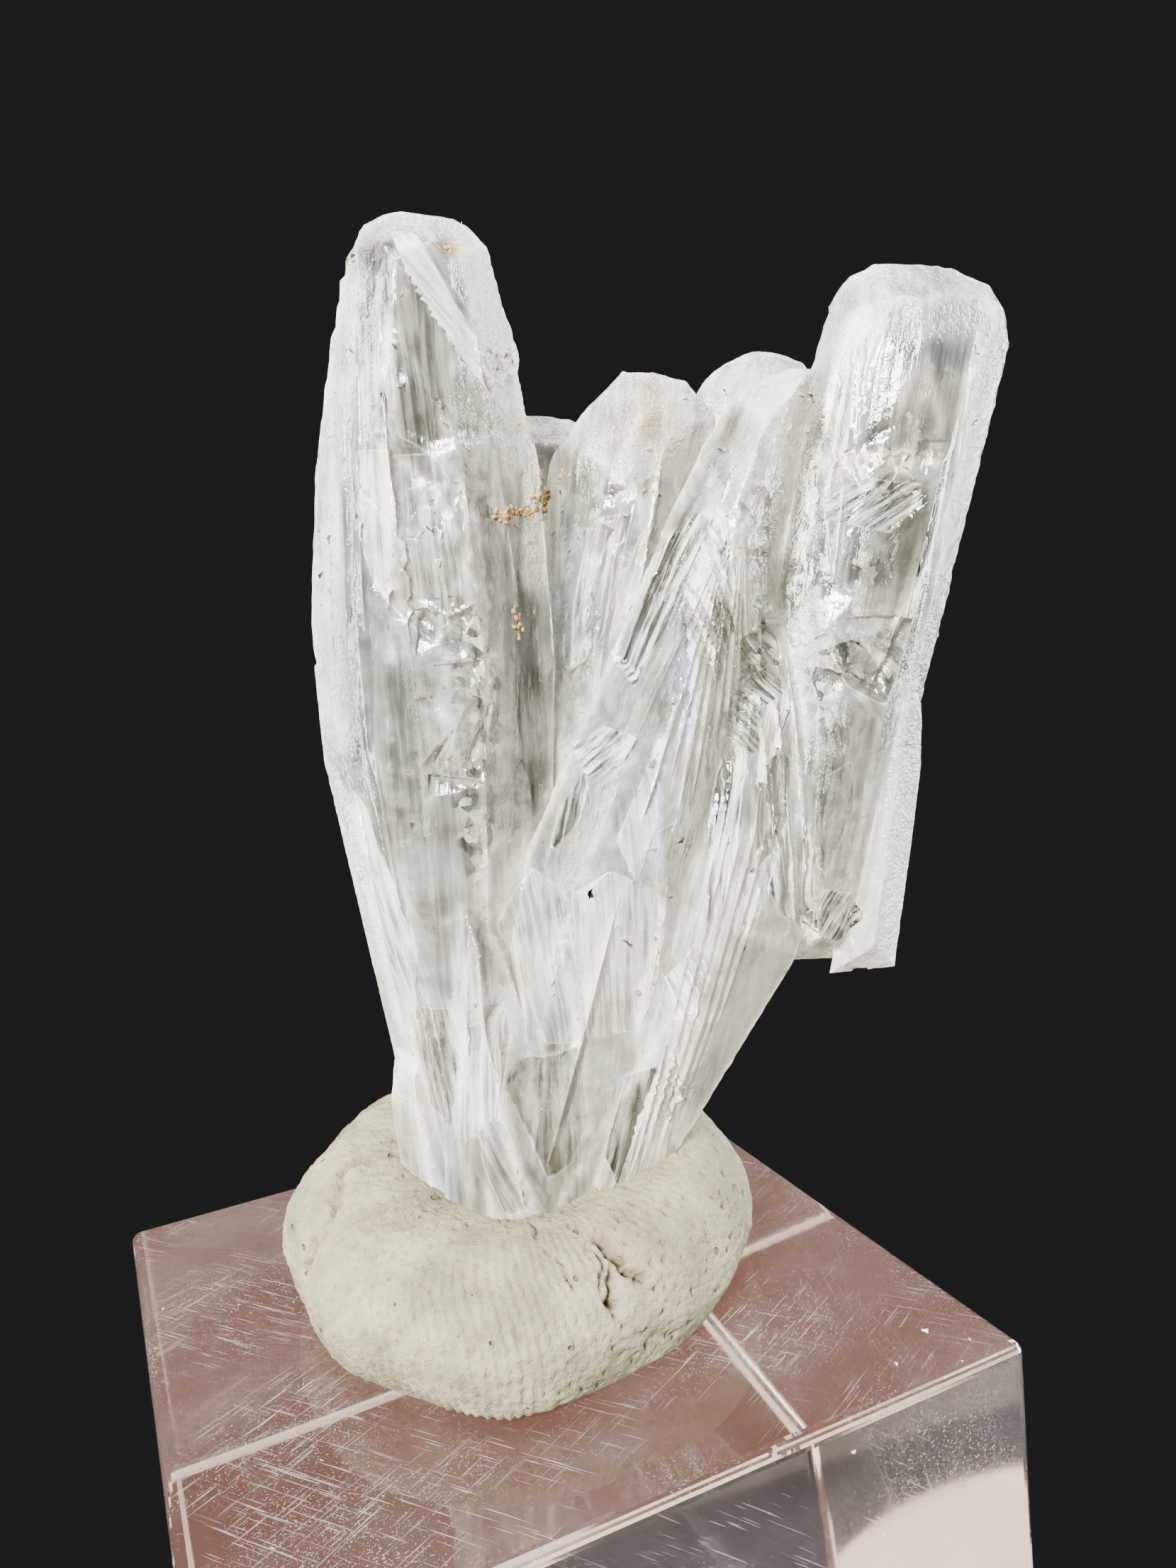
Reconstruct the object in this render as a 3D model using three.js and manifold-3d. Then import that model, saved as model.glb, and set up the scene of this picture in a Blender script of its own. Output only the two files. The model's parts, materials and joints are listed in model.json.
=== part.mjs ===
// A calcite specimen on its stand: frosted blades of clear calcite grown together in a
// fan, pressed into a lump of mounting putty on a clear acrylic cube.
// Millimetres, +Z up. The origin is the centre of the face that the cube stands on.

import * as THREE from 'three';
import { ConvexGeometry } from 'three/addons/geometries/ConvexGeometry.js';
import { RoundedBoxGeometry } from 'three/addons/geometries/RoundedBoxGeometry.js';
import { mergeVertices } from 'three/addons/utils/BufferGeometryUtils.js';
import Module from 'manifold-3d';

const wasm = await Module();
wasm.setup();

// Driving dimensions
const BLOCK_SIDE = 31.75;
const BLOCK_EDGE_RADIUS = 0.5;
const BLOCK_EDGE_STEPS = 3;
const GAP = 0.3;
const FAN_TURN = THREE.MathUtils.degToRad(-23.3);
const ROOT_DEPTH = 1.8;
const PUTTY_HEIGHT = 5.6;

// Levels, up from the surface that the cube stands on
const BLOCK_TOP = BLOCK_SIDE;
const ROOT_Z = BLOCK_TOP + ROOT_DEPTH;

// The fan has its own frame, turned about Z from the cube's sides: u runs across the fan,
// v runs through it from its front (-) to its back (+), and z is the height as above.

// Solids

// Distances under which two points are one, and the size under which a value is zero
const WELD_DISTANCE = 1e-5;
const SAME_CORNER = 1e-3;
const ZERO = 1e-6;

function closedGeometry(geometry) {
  geometry.deleteAttribute('normal');
  if (geometry.attributes.uv) geometry.deleteAttribute('uv');
  return mergeVertices(geometry, WELD_DISTANCE);
}

function toSolid(geometry) {
  const closed = closedGeometry(geometry);
  return new wasm.Manifold(new wasm.Mesh({
    numProp: 3,
    vertProperties: new Float32Array(closed.attributes.position.array),
    triVerts: new Uint32Array(closed.index.array),
  }));
}

function toGeometry(vertices, triangles) {
  const geometry = new THREE.BufferGeometry();
  geometry.setAttribute('position', new THREE.BufferAttribute(vertices, 3));
  geometry.setIndex(new THREE.BufferAttribute(triangles, 1));
  geometry.computeVertexNormals();
  return geometry;
}

// The outer skin of a solid, which is its largest connected one. It leaves out loose
// crumbs and the walls of sealed hollows.
function outerSkin(solid) {
  const { vertProperties, triVerts } = solid.getMesh();
  const leader = Array.from({ length: vertProperties.length / 3 }, (_, i) => i);
  const find = (i) => {
    while (leader[i] !== i) i = leader[i] = leader[leader[i]];
    return i;
  };
  for (let i = 0; i < triVerts.length; i += 3) {
    leader[find(triVerts[i + 1])] = find(triVerts[i]);
    leader[find(triVerts[i + 2])] = find(triVerts[i]);
  }
  const skins = new Map();
  for (let i = 0; i < triVerts.length; i += 3) {
    const skin = find(triVerts[i]);
    if (!skins.has(skin)) skins.set(skin, []);
    skins.get(skin).push(...triVerts.subarray(i, i + 3));
  }
  const largest = [...skins.values()].reduce((a, b) => (b.length > a.length ? b : a));
  return toGeometry(vertProperties, new Uint32Array(largest));
}

function joined(solids) {
  return solids.reduce((sum, solid) => sum.add(solid));
}

// Corners of the space on the inner side of every plane
function cornersOf(planes) {
  const corners = [];
  const matrix = new THREE.Matrix3();
  for (let a = 0; a < planes.length; a++) {
    for (let b = a + 1; b < planes.length; b++) {
      for (let c = b + 1; c < planes.length; c++) {
        const three = [planes[a], planes[b], planes[c]];
        matrix.set(...three.flatMap((plane) => plane.normal.toArray()));
        if (Math.abs(matrix.determinant()) < ZERO) continue;
        const corner = new THREE.Vector3(...three.map((plane) => plane.reach));
        corner.applyMatrix3(matrix.invert());
        const inside = planes.every((plane) => plane.normal.dot(corner) < plane.reach + ZERO);
        if (inside && corners.every((other) => other.distanceTo(corner) > SAME_CORNER)) {
          corners.push(corner);
        }
      }
    }
  }
  return corners;
}

// One crystal: flat faces only. Its outline is a convex polygon of [u, z], clockwise as
// seen from the front. Every side of it carries two long faces that meet in an edge at
// half depth: bevels gives their slopes towards the front and the back, in degrees from
// square. half is the half thickness at the root and at the tip, and middle the depth
// of the crystal's middle at the same two levels. facets adds faces that are cut
// through a point [u, v, z], v from the crystal's middle, square to a direction.
class Crystal {
  constructor({ outline, middle, half, bevels = [35, 35], facets = [] }) {
    const levels = outline.map(([, z]) => z);
    this.low = Math.min(...levels);
    this.high = Math.max(...levels);
    this.middle = middle;
    this.planes = [];
    outline.forEach(([u0, z0], i) => {
      const [u1, z1] = outline[(i + 1) % outline.length];
      const outward = new THREE.Vector2(z0 - z1, u1 - u0).normalize();
      this.addSide(outward, u0, z0, -THREE.MathUtils.degToRad(bevels[0]));
      this.addSide(outward, u0, z0, THREE.MathUtils.degToRad(bevels[1]));
    });
    this.addBroadFace(half, -1);
    this.addBroadFace(half, 1);
    for (const { through, facing } of facets) {
      this.addPlane(new THREE.Vector3(...facing).normalize(), new THREE.Vector3(...through));
    }
  }

  addPlane(normal, point) {
    this.planes.push({ normal, reach: normal.dot(point) });
  }

  addSide(outward, u, z, slope) {
    const flat = Math.cos(slope);
    const normal = new THREE.Vector3(outward.x * flat, Math.sin(slope), outward.y * flat);
    this.addPlane(normal, new THREE.Vector3(u, 0, z));
  }

  addBroadFace([atRoot, atTip], side) {
    const rise = this.high - this.low;
    const normal = new THREE.Vector3(0, side * rise, atRoot - atTip).normalize();
    this.addPlane(normal, new THREE.Vector3(0, side * atRoot, this.low));
  }

  // Depth of the crystal's middle at a level
  middleAt(z) {
    const share = (z - this.low) / (this.high - this.low);
    return THREE.MathUtils.lerp(this.middle[0], this.middle[1], share);
  }

  // Depth of the crystal's front or back surface at a place inside its outline
  surfaceAt(u, z, side = -1) {
    const depths = this.planes
      .filter(({ normal }) => normal.y * side > ZERO)
      .map(({ normal, reach }) => (reach - normal.x * u - normal.z * z) / normal.y);
    const nearest = side < 0 ? Math.max(...depths) : Math.min(...depths);
    return this.middleAt(z) + nearest;
  }

  solid(grow = 0) {
    const planes = this.planes.map(({ normal, reach }) => ({ normal, reach: reach + grow }));
    const corners = cornersOf(planes);
    for (const corner of corners) corner.y += this.middleAt(corner.z);
    return toSolid(new ConvexGeometry(corners));
  }
}

// The blades of the fan, named by where they stand in it

const leftBlade = new Crystal({
  outline: [
    [-2.9, ROOT_Z], [-5.3, 57], [-5.1, 62.5], [-4.2, 68.3], [-2.1, 76.2], [-1.2, 78.0],
    [0.5, 78.6], [3.0, 78.0], [4.1, 76.6], [4.8, 72.5], [5.2, 67.8], [5.0, 60], [2.0, ROOT_Z],
  ],
  middle: [-0.8, -1.6],
  half: [2.6, 3.4],
  bevels: [42, 36],
  facets: [
    { through: [-1.0, -3.1, 68], facing: [-0.32, -1, 0.02] },
    { through: [3.0, -2.7, 70], facing: [0.42, -1, 0.16] },
    { through: [1.0, 2.8, 62], facing: [0.2, 1, -0.03] },
  ],
});

const middleBlade = new Crystal({
  outline: [
    [-0.6, ROOT_Z], [2.0, 50], [3.8, 62], [5.5, 68.3], [6.6, 70.3], [8.9, 72.1],
    [10.1, 72.0], [11.9, 71.4], [12.9, 69.5], [11.4, 61], [4.0, ROOT_Z],
  ],
  middle: [0.4, 0.8],
  half: [2.8, 2.9],
  bevels: [46, 40],
  facets: [
    { through: [7.6, -2.5, 66], facing: [-0.3, -1, 0.1] },
    { through: [10.6, -2.3, 66], facing: [0.36, -1, 0.12] },
  ],
});

const featherBlade = new Crystal({
  outline: [
    [-1.9, ROOT_Z], [1.0, 48.6], [10.2, 65.7], [11.6, 68.0], [13.0, 69.8], [15.8, 70.8],
    [16.4, 70.4], [16.3, 69.1], [6.2, ROOT_Z],
  ],
  middle: [-1.2, -3.4],
  half: [2.9, 2.5],
  bevels: [44, 38],
  facets: [
    { through: [11.5, -2.1, 64], facing: [-0.34, -1, 0.2] },
    { through: [13.2, -2.1, 62], facing: [0.38, -1, 0.02] },
    { through: [5.0, -2.9, 48], facing: [0.22, -1, -0.1] },
  ],
});

const backBlade = new Crystal({
  outline: [
    [1.6, ROOT_Z], [11.7, 70.4], [12.6, 72.0], [13.7, 72.8], [15.3, 73.3], [16.4, 73.1],
    [17.8, 72.5], [18.5, 71.0], [14.8, 58], [4.6, ROOT_Z],
  ],
  middle: [1.8, 5.4],
  half: [2.2, 2.4],
  bevels: [38, 48],
  facets: [{ through: [14.5, 2.0, 64], facing: [0.25, 1, 0.12] }],
});

const backStub = new Crystal({
  outline: [
    [-2.4, ROOT_Z], [1.4, 64], [2.4, 70.2], [3.4, 71.6], [6.8, 71.1], [8.8, 70.0],
    [9.4, 67.5], [7.8, 55], [4.4, ROOT_Z],
  ],
  middle: [2.0, 5.8],
  half: [2.2, 2.2],
  bevels: [36, 50],
  facets: [{ through: [5.0, 1.8, 62], facing: [-0.28, 1, 0.1] }],
});

const rightBlade = new Crystal({
  outline: [
    [14.0, 45.5], [12.9, 50], [13.5, 60], [16.6, 71.2], [17.4, 73.2], [18.3, 74.6],
    [19.8, 75.2], [22.7, 74.8], [24.5, 73.8], [25.2, 72.6], [25.3, 71.4], [17.2, 45.3],
  ],
  middle: [0.4, 0.0],
  half: [2.6, 3.3],
  bevels: [38, 42],
  facets: [
    { through: [22.3, -2.6, 68], facing: [0.46, -1, 0.04] },
    { through: [18.4, -2.9, 68], facing: [-0.26, -1, 0.1] },
    { through: [18.0, -2.7, 55], facing: [0.12, -1, -0.14] },
    { through: [21.0, 2.9, 66], facing: [0.3, 1, 0.1] },
  ],
});

// The milky slab that carries on the right blade's edge below its notch
const milkySlab = new Crystal({
  outline: [[15.6, 45.0], [18.4, 57.4], [20.2, 57.6], [20.6, 56.6], [20.3, 53.4], [18.6, 45.0]],
  middle: [-0.6, -0.4],
  half: [1.9, 2.4],
  bevels: [50, 40],
});

// The web of fused crystal between the feathered blade and the right blade
const web = new Crystal({
  outline: [
    [1.6, ROOT_Z], [7.0, 50], [11.0, 60.5], [12.6, 62.4], [14.6, 61.8], [15.9, 57],
    [15.4, 49], [14.0, 46.2], [9.3, 39.8], [4.7, ROOT_Z],
  ],
  middle: [-2.4, -0.9],
  half: [2.1, 2.9],
  bevels: [48, 44],
  facets: [{ through: [13.0, -2.5, 54], facing: [0.3, -1, 0.04] }],
});

// A low splinter that fills the fan's left foot
const leftFoot = new Crystal({
  outline: [[-3.4, ROOT_Z], [-4.2, 36.6], [-4.3, 41.4], [-3.9, 43.4], [-2.2, 45], [0.4, ROOT_Z]],
  middle: [-0.8, -1.4],
  half: [2.0, 1.4],
  bevels: [40, 40],
});

const frontFoot = new Crystal({
  outline: [[-2.6, ROOT_Z], [-1.4, 44], [0.2, 50.5], [1.6, 49], [3.6, 38], [3.2, ROOT_Z]],
  middle: [-2.9, -4.0],
  half: [1.9, 0.9],
  bevels: [52, 30],
});

const BLADES = [
  leftBlade, middleBlade, featherBlade, backBlade, backStub, rightBlade, milkySlab, web,
  leftFoot, frontFoot,
];

// A ridge that lies along a crystal's face from one [u, z] to another. It is roof-shaped,
// swells from its ends to its middle and has its foot sunk into the face.
const RIDGE_STEPS = 5;
const RIDGE_SUNK = 0.25;
const RIDGE_END = 0.04;

function ridge(crystal, from, to, width, height, side = -1) {
  const start = new THREE.Vector2(...from);
  const end = new THREE.Vector2(...to);
  const across = new THREE.Vector2(start.y - end.y, end.x - start.x).normalize();
  const points = [];
  for (let i = 0; i <= RIDGE_STEPS; i++) {
    const along = i / RIDGE_STEPS;
    const arch = Math.sin(Math.PI * THREE.MathUtils.lerp(RIDGE_END, 1 - RIDGE_END, along));
    const swell = Math.sqrt(arch);
    const crest = THREE.MathUtils.lerp(-RIDGE_SUNK, height, swell);
    for (const [off, rise] of [[-width / 2, -RIDGE_SUNK], [0, crest], [width / 2, -RIDGE_SUNK]]) {
      const place = start.clone().lerp(end, along).addScaledVector(across, off * swell);
      const depth = crystal.surfaceAt(place.x, place.y, side) + side * rise;
      points.push(new THREE.Vector3(place.x, depth, place.y));
    }
  }
  const last = 3 * RIDGE_STEPS;
  const faces = [0, 2, 1, last, last + 1, last + 2];
  for (let i = 0; i < last; i += 3) {
    for (const [a, b] of [[0, 1], [1, 2], [2, 0]]) {
      faces.push(i + a, i + b, i + 3 + b, i + a, i + 3 + b, i + 3 + a);
    }
  }
  if (side < 0) faces.reverse();
  const geometry = new THREE.BufferGeometry().setFromPoints(points);
  geometry.setIndex(faces);
  return toSolid(geometry);
}

// A factor from 0.75 to 1.25 that differs from one of a row to the next
const GOLDEN_SHARE = 0.618;

function uneven(i) {
  return 0.75 + 0.5 * ((i * GOLDEN_SHARE) % 1);
}

function between([u0, z0], [u1, z1], share) {
  return [THREE.MathUtils.lerp(u0, u1, share), THREE.MathUtils.lerp(z0, z1, share)];
}

// Ridges in a row along a face. from and to hold the ends of the first and of the last
// one. Every second ridge stops short by a share of its length.
function flutes(crystal, { from, to, count, width, height, side, short = 0 }) {
  const ridges = [];
  for (let i = 0; i < count; i++) {
    const share = i / (count - 1);
    const start = between(...from, share);
    const end = between(start, between(...to, share), i % 2 ? 1 : 1 - short);
    ridges.push(ridge(crystal, start, end, width, height * uneven(i), side));
  }
  return ridges;
}

// The leaning rhomb that calcite splits into, for a pit or a chip broken out. Its lean
// gives a cube's edges calcite's angle of 75 degrees.
const RHOMB_LEAN = 0.28;

function rhomb([u, v, z], size, turn) {
  const geometry = new THREE.BoxGeometry(size, size, size);
  geometry.applyMatrix4(
    new THREE.Matrix4().makeShear(0, RHOMB_LEAN, RHOMB_LEAN, 0, 0, RHOMB_LEAN),
  );
  geometry.rotateX(turn[0]);
  geometry.rotateY(turn[1]);
  geometry.rotateZ(turn[2]);
  geometry.translate(u, v, z);
  return toSolid(geometry);
}

function makeRidges() {
  return [
    ...flutes(featherBlade, {
      from: [[12.2, 64.5], [12.2, 64.5]], to: [[6.2, 55.5], [9.4, 51.5]],
      count: 7, width: 1.0, height: 0.4, short: 0.14,
    }),
    ...flutes(featherBlade, {
      from: [[12.7, 64.5], [12.7, 64.5]], to: [[10.2, 52.0], [12.6, 53.5]],
      count: 4, width: 0.9, height: 0.35, short: 0.14,
    }),
    ...flutes(web, {
      from: [[5.6, 36.8], [8.4, 40.0]], to: [[10.6, 52], [14.4, 55]],
      count: 6, width: 1.1, height: 0.4,
    }),
    ...flutes(web, {
      from: [[13.2, 47.6], [14.8, 48.4]], to: [[13.0, 60], [14.6, 59.5]],
      count: 3, width: 0.9, height: 0.45,
    }),
    ...flutes(leftBlade, {
      from: [[-3.3, 44], [-1.9, 41]], to: [[-4.9, 56], [-2.6, 58]],
      count: 4, width: 0.9, height: 0.35,
    }),
    ...flutes(leftBlade, {
      from: [[-4.2, 60], [-2.4, 61]], to: [[-3.1, 70], [-1.4, 75]],
      count: 3, width: 0.8, height: 0.3,
    }),
    ridge(leftBlade, [-0.6, 59.5], [-0.4, 76.4], 1.1, 0.3),
    ridge(leftBlade, [3.9, 61], [3.2, 76.4], 1.3, 0.35),
    ridge(middleBlade, [3.6, 46], [8.8, 68], 1.3, 0.35),
    ridge(middleBlade, [6.4, 54], [10.8, 70], 1.4, 0.35),
    ridge(featherBlade, [5.6, 53.4], [13.4, 68.6], 1.0, 0.35),
    ridge(rightBlade, [20.0, 57.0], [23.4, 72.8], 1.2, 0.35),
    ridge(rightBlade, [16.2, 60.5], [18.6, 73.4], 1.4, 0.4),
    ridge(milkySlab, [16.6, 46], [19.0, 56.6], 1.2, 0.35),
    ridge(frontFoot, [-1.2, 37], [0.3, 49], 0.9, 0.3),
    ridge(featherBlade, [2.0, 37.5], [6.8, 51], 1.2, 0.35),
    ...flutes(backBlade, {
      from: [[4.5, 42], [7.6, 42]], to: [[13.3, 70], [16.4, 70]],
      count: 4, width: 1.3, height: 0.35, side: 1,
    }),
    ...flutes(backStub, {
      from: [[0.2, 42], [4.4, 42]], to: [[3.2, 69], [7.8, 68]],
      count: 4, width: 1.3, height: 0.35, side: 1,
    }),
    ...flutes(leftBlade, {
      from: [[-3.2, 46], [-0.2, 48]], to: [[-2.4, 72], [1.6, 76]],
      count: 3, width: 1.3, height: 0.35, side: 1,
    }),
    ...flutes(rightBlade, {
      from: [[16.0, 50], [17.8, 54]], to: [[19.2, 73], [22.6, 73]],
      count: 3, width: 1.4, height: 0.35, side: 1,
    }),
  ];
}

// A patch of a face where the crystal has crumbled along its natural breaks. The pits are
// spread over an ellipse round centre, each one is turned otherwise than the last, and its
// lowest corner, this share of its edge from its middle, goes depth into the face.
const CORNER_SHARE = 0.75;
const FIRST_TURN = [0.6, 0.3, 0.7];
const NEXT_TURN = [0.13, 0.21, -0.17];

function crumbledPatch(crystal, { centre, spread, count, size, depth, side = -1 }) {
  const pits = [];
  for (let i = 0; i < count; i++) {
    const out = Math.sqrt((i + 0.5) / count);
    const angle = 2 * Math.PI * GOLDEN_SHARE * i;
    const u = centre[0] + out * spread[0] * Math.cos(angle);
    const z = centre[1] + out * spread[1] * Math.sin(angle);
    const edge = size * uneven(i);
    const v = crystal.surfaceAt(u, z, side) + side * (CORNER_SHARE * edge - depth);
    pits.push(rhomb([u, v, z], edge, FIRST_TURN.map((first, axis) => first + i * NEXT_TURN[axis])));
  }
  return pits;
}

function makePits() {
  return [
    ...crumbledPatch(leftBlade, {
      centre: [0.9, 58.0], spread: [1.3, 5.0], count: 14, size: 2.0, depth: 0.35,
    }),
    ...crumbledPatch(leftBlade, {
      centre: [0.6, 66.5], spread: [2.2, 1.2], count: 5, size: 1.7, depth: 0.25,
    }),
    ...crumbledPatch(rightBlade, {
      centre: [19.4, 66.4], spread: [2.4, 0.5], count: 6, size: 1.7, depth: 0.3,
    }),
    ...crumbledPatch(rightBlade, {
      centre: [17.4, 58.8], spread: [1.8, 2.2], count: 9, size: 2.4, depth: 0.45,
    }),
    ...crumbledPatch(web, {
      centre: [13.8, 59.4], spread: [1.0, 1.8], count: 6, size: 1.5, depth: 0.35,
    }),
    ...crumbledPatch(middleBlade, {
      centre: [7.4, 65.0], spread: [1.4, 1.0], count: 4, size: 1.4, depth: 0.25,
    }),
    ...crumbledPatch(backStub, {
      centre: [4.2, 56.0], spread: [1.6, 5.0], count: 7, size: 2.0, depth: 0.35, side: 1,
    }),
    ...crumbledPatch(rightBlade, {
      centre: [18.2, 60.0], spread: [1.6, 4.0], count: 6, size: 2.0, depth: 0.35, side: 1,
    }),
  ];
}

// Chips lost from the fan's edges
const CHIPS = [
  { at: [21.7, -0.4, 57.3], size: 1.5, turn: [0.2, 0.5, 0.2] },
  { at: [16.6, -1.6, 44.4], size: 1.5, turn: [0.1, 0.3, 0.5] },
  { at: [17.9, 0.9, 44.4], size: 1.7, turn: [0.4, -0.2, 0.2] },
  { at: [14.9, 1.6, 44.7], size: 1.5, turn: [0.3, 0.1, -0.3] },
  { at: [-5.9, -1.2, 61.3], size: 1.3, turn: [0.2, -0.3, 0.6] },
  { at: [13.4, -2.0, 43.6], size: 1.1, turn: [0.5, 0.2, 0.3] },
  { at: [10.7, -2.2, 40.3], size: 1.1, turn: [0.2, 0.6, 0.1] },
];

function makeCluster() {
  const grown = joined([...BLADES.map((crystal) => crystal.solid()), ...makeRidges()]);
  const chips = CHIPS.map(({ at, size, turn }) => rhomb(at, size, turn));
  return outerSkin(grown.subtract(joined([...chips, ...makePits()])));
}

// The putty: a lump with a rounded side, thumbed up higher at the back and sides than at
// the front. Radius at its widest and height of its rim over the block go round the fan
// from its right, through its back, left and front.
const PUTTY_CENTRE = [0.6, 0.2];
const PUTTY_RADII = [10.8, 10.6, 9.8, 9.4, 9.8, 10.9, 10.9, 10.2, 10.0, 10.8, 10.2, 10.3];
const PUTTY_RIMS = [7.9, 8.1, 8.0, 8.0, 8.2, 8.0, 7.4, 6.6, 6.0, 5.6, 5.4, 6.4];
const PUTTY_STEPS = 48;
const PUTTY_FOOT = BLOCK_TOP + GAP;
// The lump's side, from its flat bottom over its rim to its middle: share of the radius
// and share of the rim's height
const PUTTY_SIDE = [
  [0.9, 0], [0.955, 0.1], [0.99, 0.24], [1, 0.4], [0.975, 0.56], [0.92, 0.72],
  [0.83, 0.86], [0.72, 0.95], [0.6, 1.0], [0.46, 0.98], [0.3, 0.92],
];

// A value between the entries of a closed ring of them, without corners
function aroundRing(ring, turn) {
  const place = turn * ring.length;
  const before = Math.floor(place) % ring.length;
  const after = (before + 1) % ring.length;
  const share = THREE.MathUtils.smoothstep(place - Math.floor(place), 0, 1);
  return THREE.MathUtils.lerp(ring[before], ring[after], share);
}

// Dents that the thumbs left round the lump: depth, how many there are round it, and how
// far they lean with the height
const DENTS = [[0.22, 3, 4], [0.16, 7, -3]];

function thumbDent(angle, height) {
  return DENTS.reduce(
    (sum, [depth, lobes, lean]) => sum + depth * Math.sin(lobes * angle + lean * height), 0,
  );
}

function puttyLump() {
  const points = [];
  for (let i = 0; i < PUTTY_STEPS; i++) {
    const turn = i / PUTTY_STEPS;
    const angle = 2 * Math.PI * turn;
    const radius = aroundRing(PUTTY_RADII, turn);
    const rim = aroundRing(PUTTY_RIMS, turn) - GAP;
    for (const [out, up] of PUTTY_SIDE) {
      const bulge = up > 0 ? thumbDent(angle, up) : 0;
      points.push(new THREE.Vector3(
        PUTTY_CENTRE[0] + (out * radius + bulge) * Math.cos(angle),
        PUTTY_CENTRE[1] + (out * radius + bulge) * Math.sin(angle),
        PUTTY_FOOT + up * rim,
      ));
    }
  }
  const rings = PUTTY_SIDE.length;
  const bottom = points.push(new THREE.Vector3(...PUTTY_CENTRE, PUTTY_FOOT)) - 1;
  const top = points.push(new THREE.Vector3(...PUTTY_CENTRE, PUTTY_FOOT + PUTTY_HEIGHT)) - 1;
  const faces = [];
  for (let i = 0; i < PUTTY_STEPS; i++) {
    const here = i * rings;
    const next = ((i + 1) % PUTTY_STEPS) * rings;
    faces.push(bottom, next, here);
    for (let j = 0; j + 1 < rings; j++) {
      faces.push(here + j, next + j, next + j + 1);
      faces.push(here + j, next + j + 1, here + j + 1);
    }
    faces.push(here + rings - 1, next + rings - 1, top);
  }
  const geometry = new THREE.BufferGeometry().setFromPoints(points);
  geometry.setIndex(faces);
  return geometry;
}

// The ragged tear at the lump's front right, and the pits along a fold at its left
const PUTTY_PITS = [
  { at: [4.9, -7.0, 36.8], size: 0.9, turn: [0.4, 0.7, 0.3] },
  { at: [5.5, -7.6, 36.2], size: 1.1, turn: [0.2, 0.4, 0.6] },
  { at: [6.2, -7.8, 35.6], size: 0.9, turn: [0.6, 0.1, 0.9] },
  { at: [5.0, -8.6, 35.3], size: 1.0, turn: [0.5, 0.2, 0.4] },
  { at: [5.2, -8.9, 34.5], size: 1.1, turn: [0.1, 0.6, 0.2] },
  { at: [6.4, -8.1, 33.7], size: 1.0, turn: [0.3, 0.5, 0.7] },
  { at: [7.1, -7.5, 33.2], size: 0.8, turn: [0.7, 0.3, 0.1] },
  { at: [-6.9, -3.2, 38.1], size: 0.7, turn: [0.4, 0.7, 0.3] },
  { at: [-7.5, -4.2, 37.2], size: 0.8, turn: [0.2, 0.4, 0.6] },
];

function makePutty() {
  const socket = joined(BLADES.map((crystal) => crystal.solid(GAP)));
  const pits = joined(PUTTY_PITS.map(({ at, size, turn }) => rhomb(at, size, turn)));
  return outerSkin(toSolid(puttyLump()).subtract(socket).subtract(pits));
}

function makeBlock() {
  const geometry = new RoundedBoxGeometry(
    BLOCK_SIDE, BLOCK_SIDE, BLOCK_SIDE, BLOCK_EDGE_STEPS, BLOCK_EDGE_RADIUS,
  );
  geometry.translate(0, 0, BLOCK_SIDE / 2);
  return closedGeometry(geometry);
}

// Materials and the finished model

function surface(color, roughness, opacity = 1) {
  return new THREE.MeshStandardMaterial({
    color, roughness, metalness: 0, opacity, transparent: opacity < 1,
  });
}

const CALCITE = surface('#dfe2dc', 0.3, 0.75);
const PUTTY = surface('#cfcbb4', 0.85);
const ACRYLIC = surface('#eef2f2', 0.08, 0.35);

function piece(name, geometry, material) {
  const mesh = new THREE.Mesh(geometry, material);
  mesh.name = name;
  return mesh;
}

const fan = new THREE.Group();
fan.rotation.z = FAN_TURN;
fan.add(piece('calcite_cluster', makeCluster(), CALCITE));
fan.add(piece('mounting_putty', makePutty(), PUTTY));

const specimen = new THREE.Group();
specimen.add(fan);
specimen.add(piece('acrylic_block', makeBlock(), ACRYLIC));

export default specimen;
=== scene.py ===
# %% [markdown]
# This scene dresses a calcite specimen: a fan of clear crystal blades with frosted tips,
# pressed into a lump of mounting putty on a clear acrylic cube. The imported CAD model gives
# every place and size. Blender adds what makes the pieces look real: the growth lines,
# cracks and frost of the crystals, the fingerprints in the putty, and light.

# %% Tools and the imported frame
import json
import math
import random

import bmesh
import bpy
import numpy as np
from mathutils import Matrix, Vector, noise
from mathutils.bvhtree import BVHTree
from mathutils.kdtree import KDTree

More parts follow.
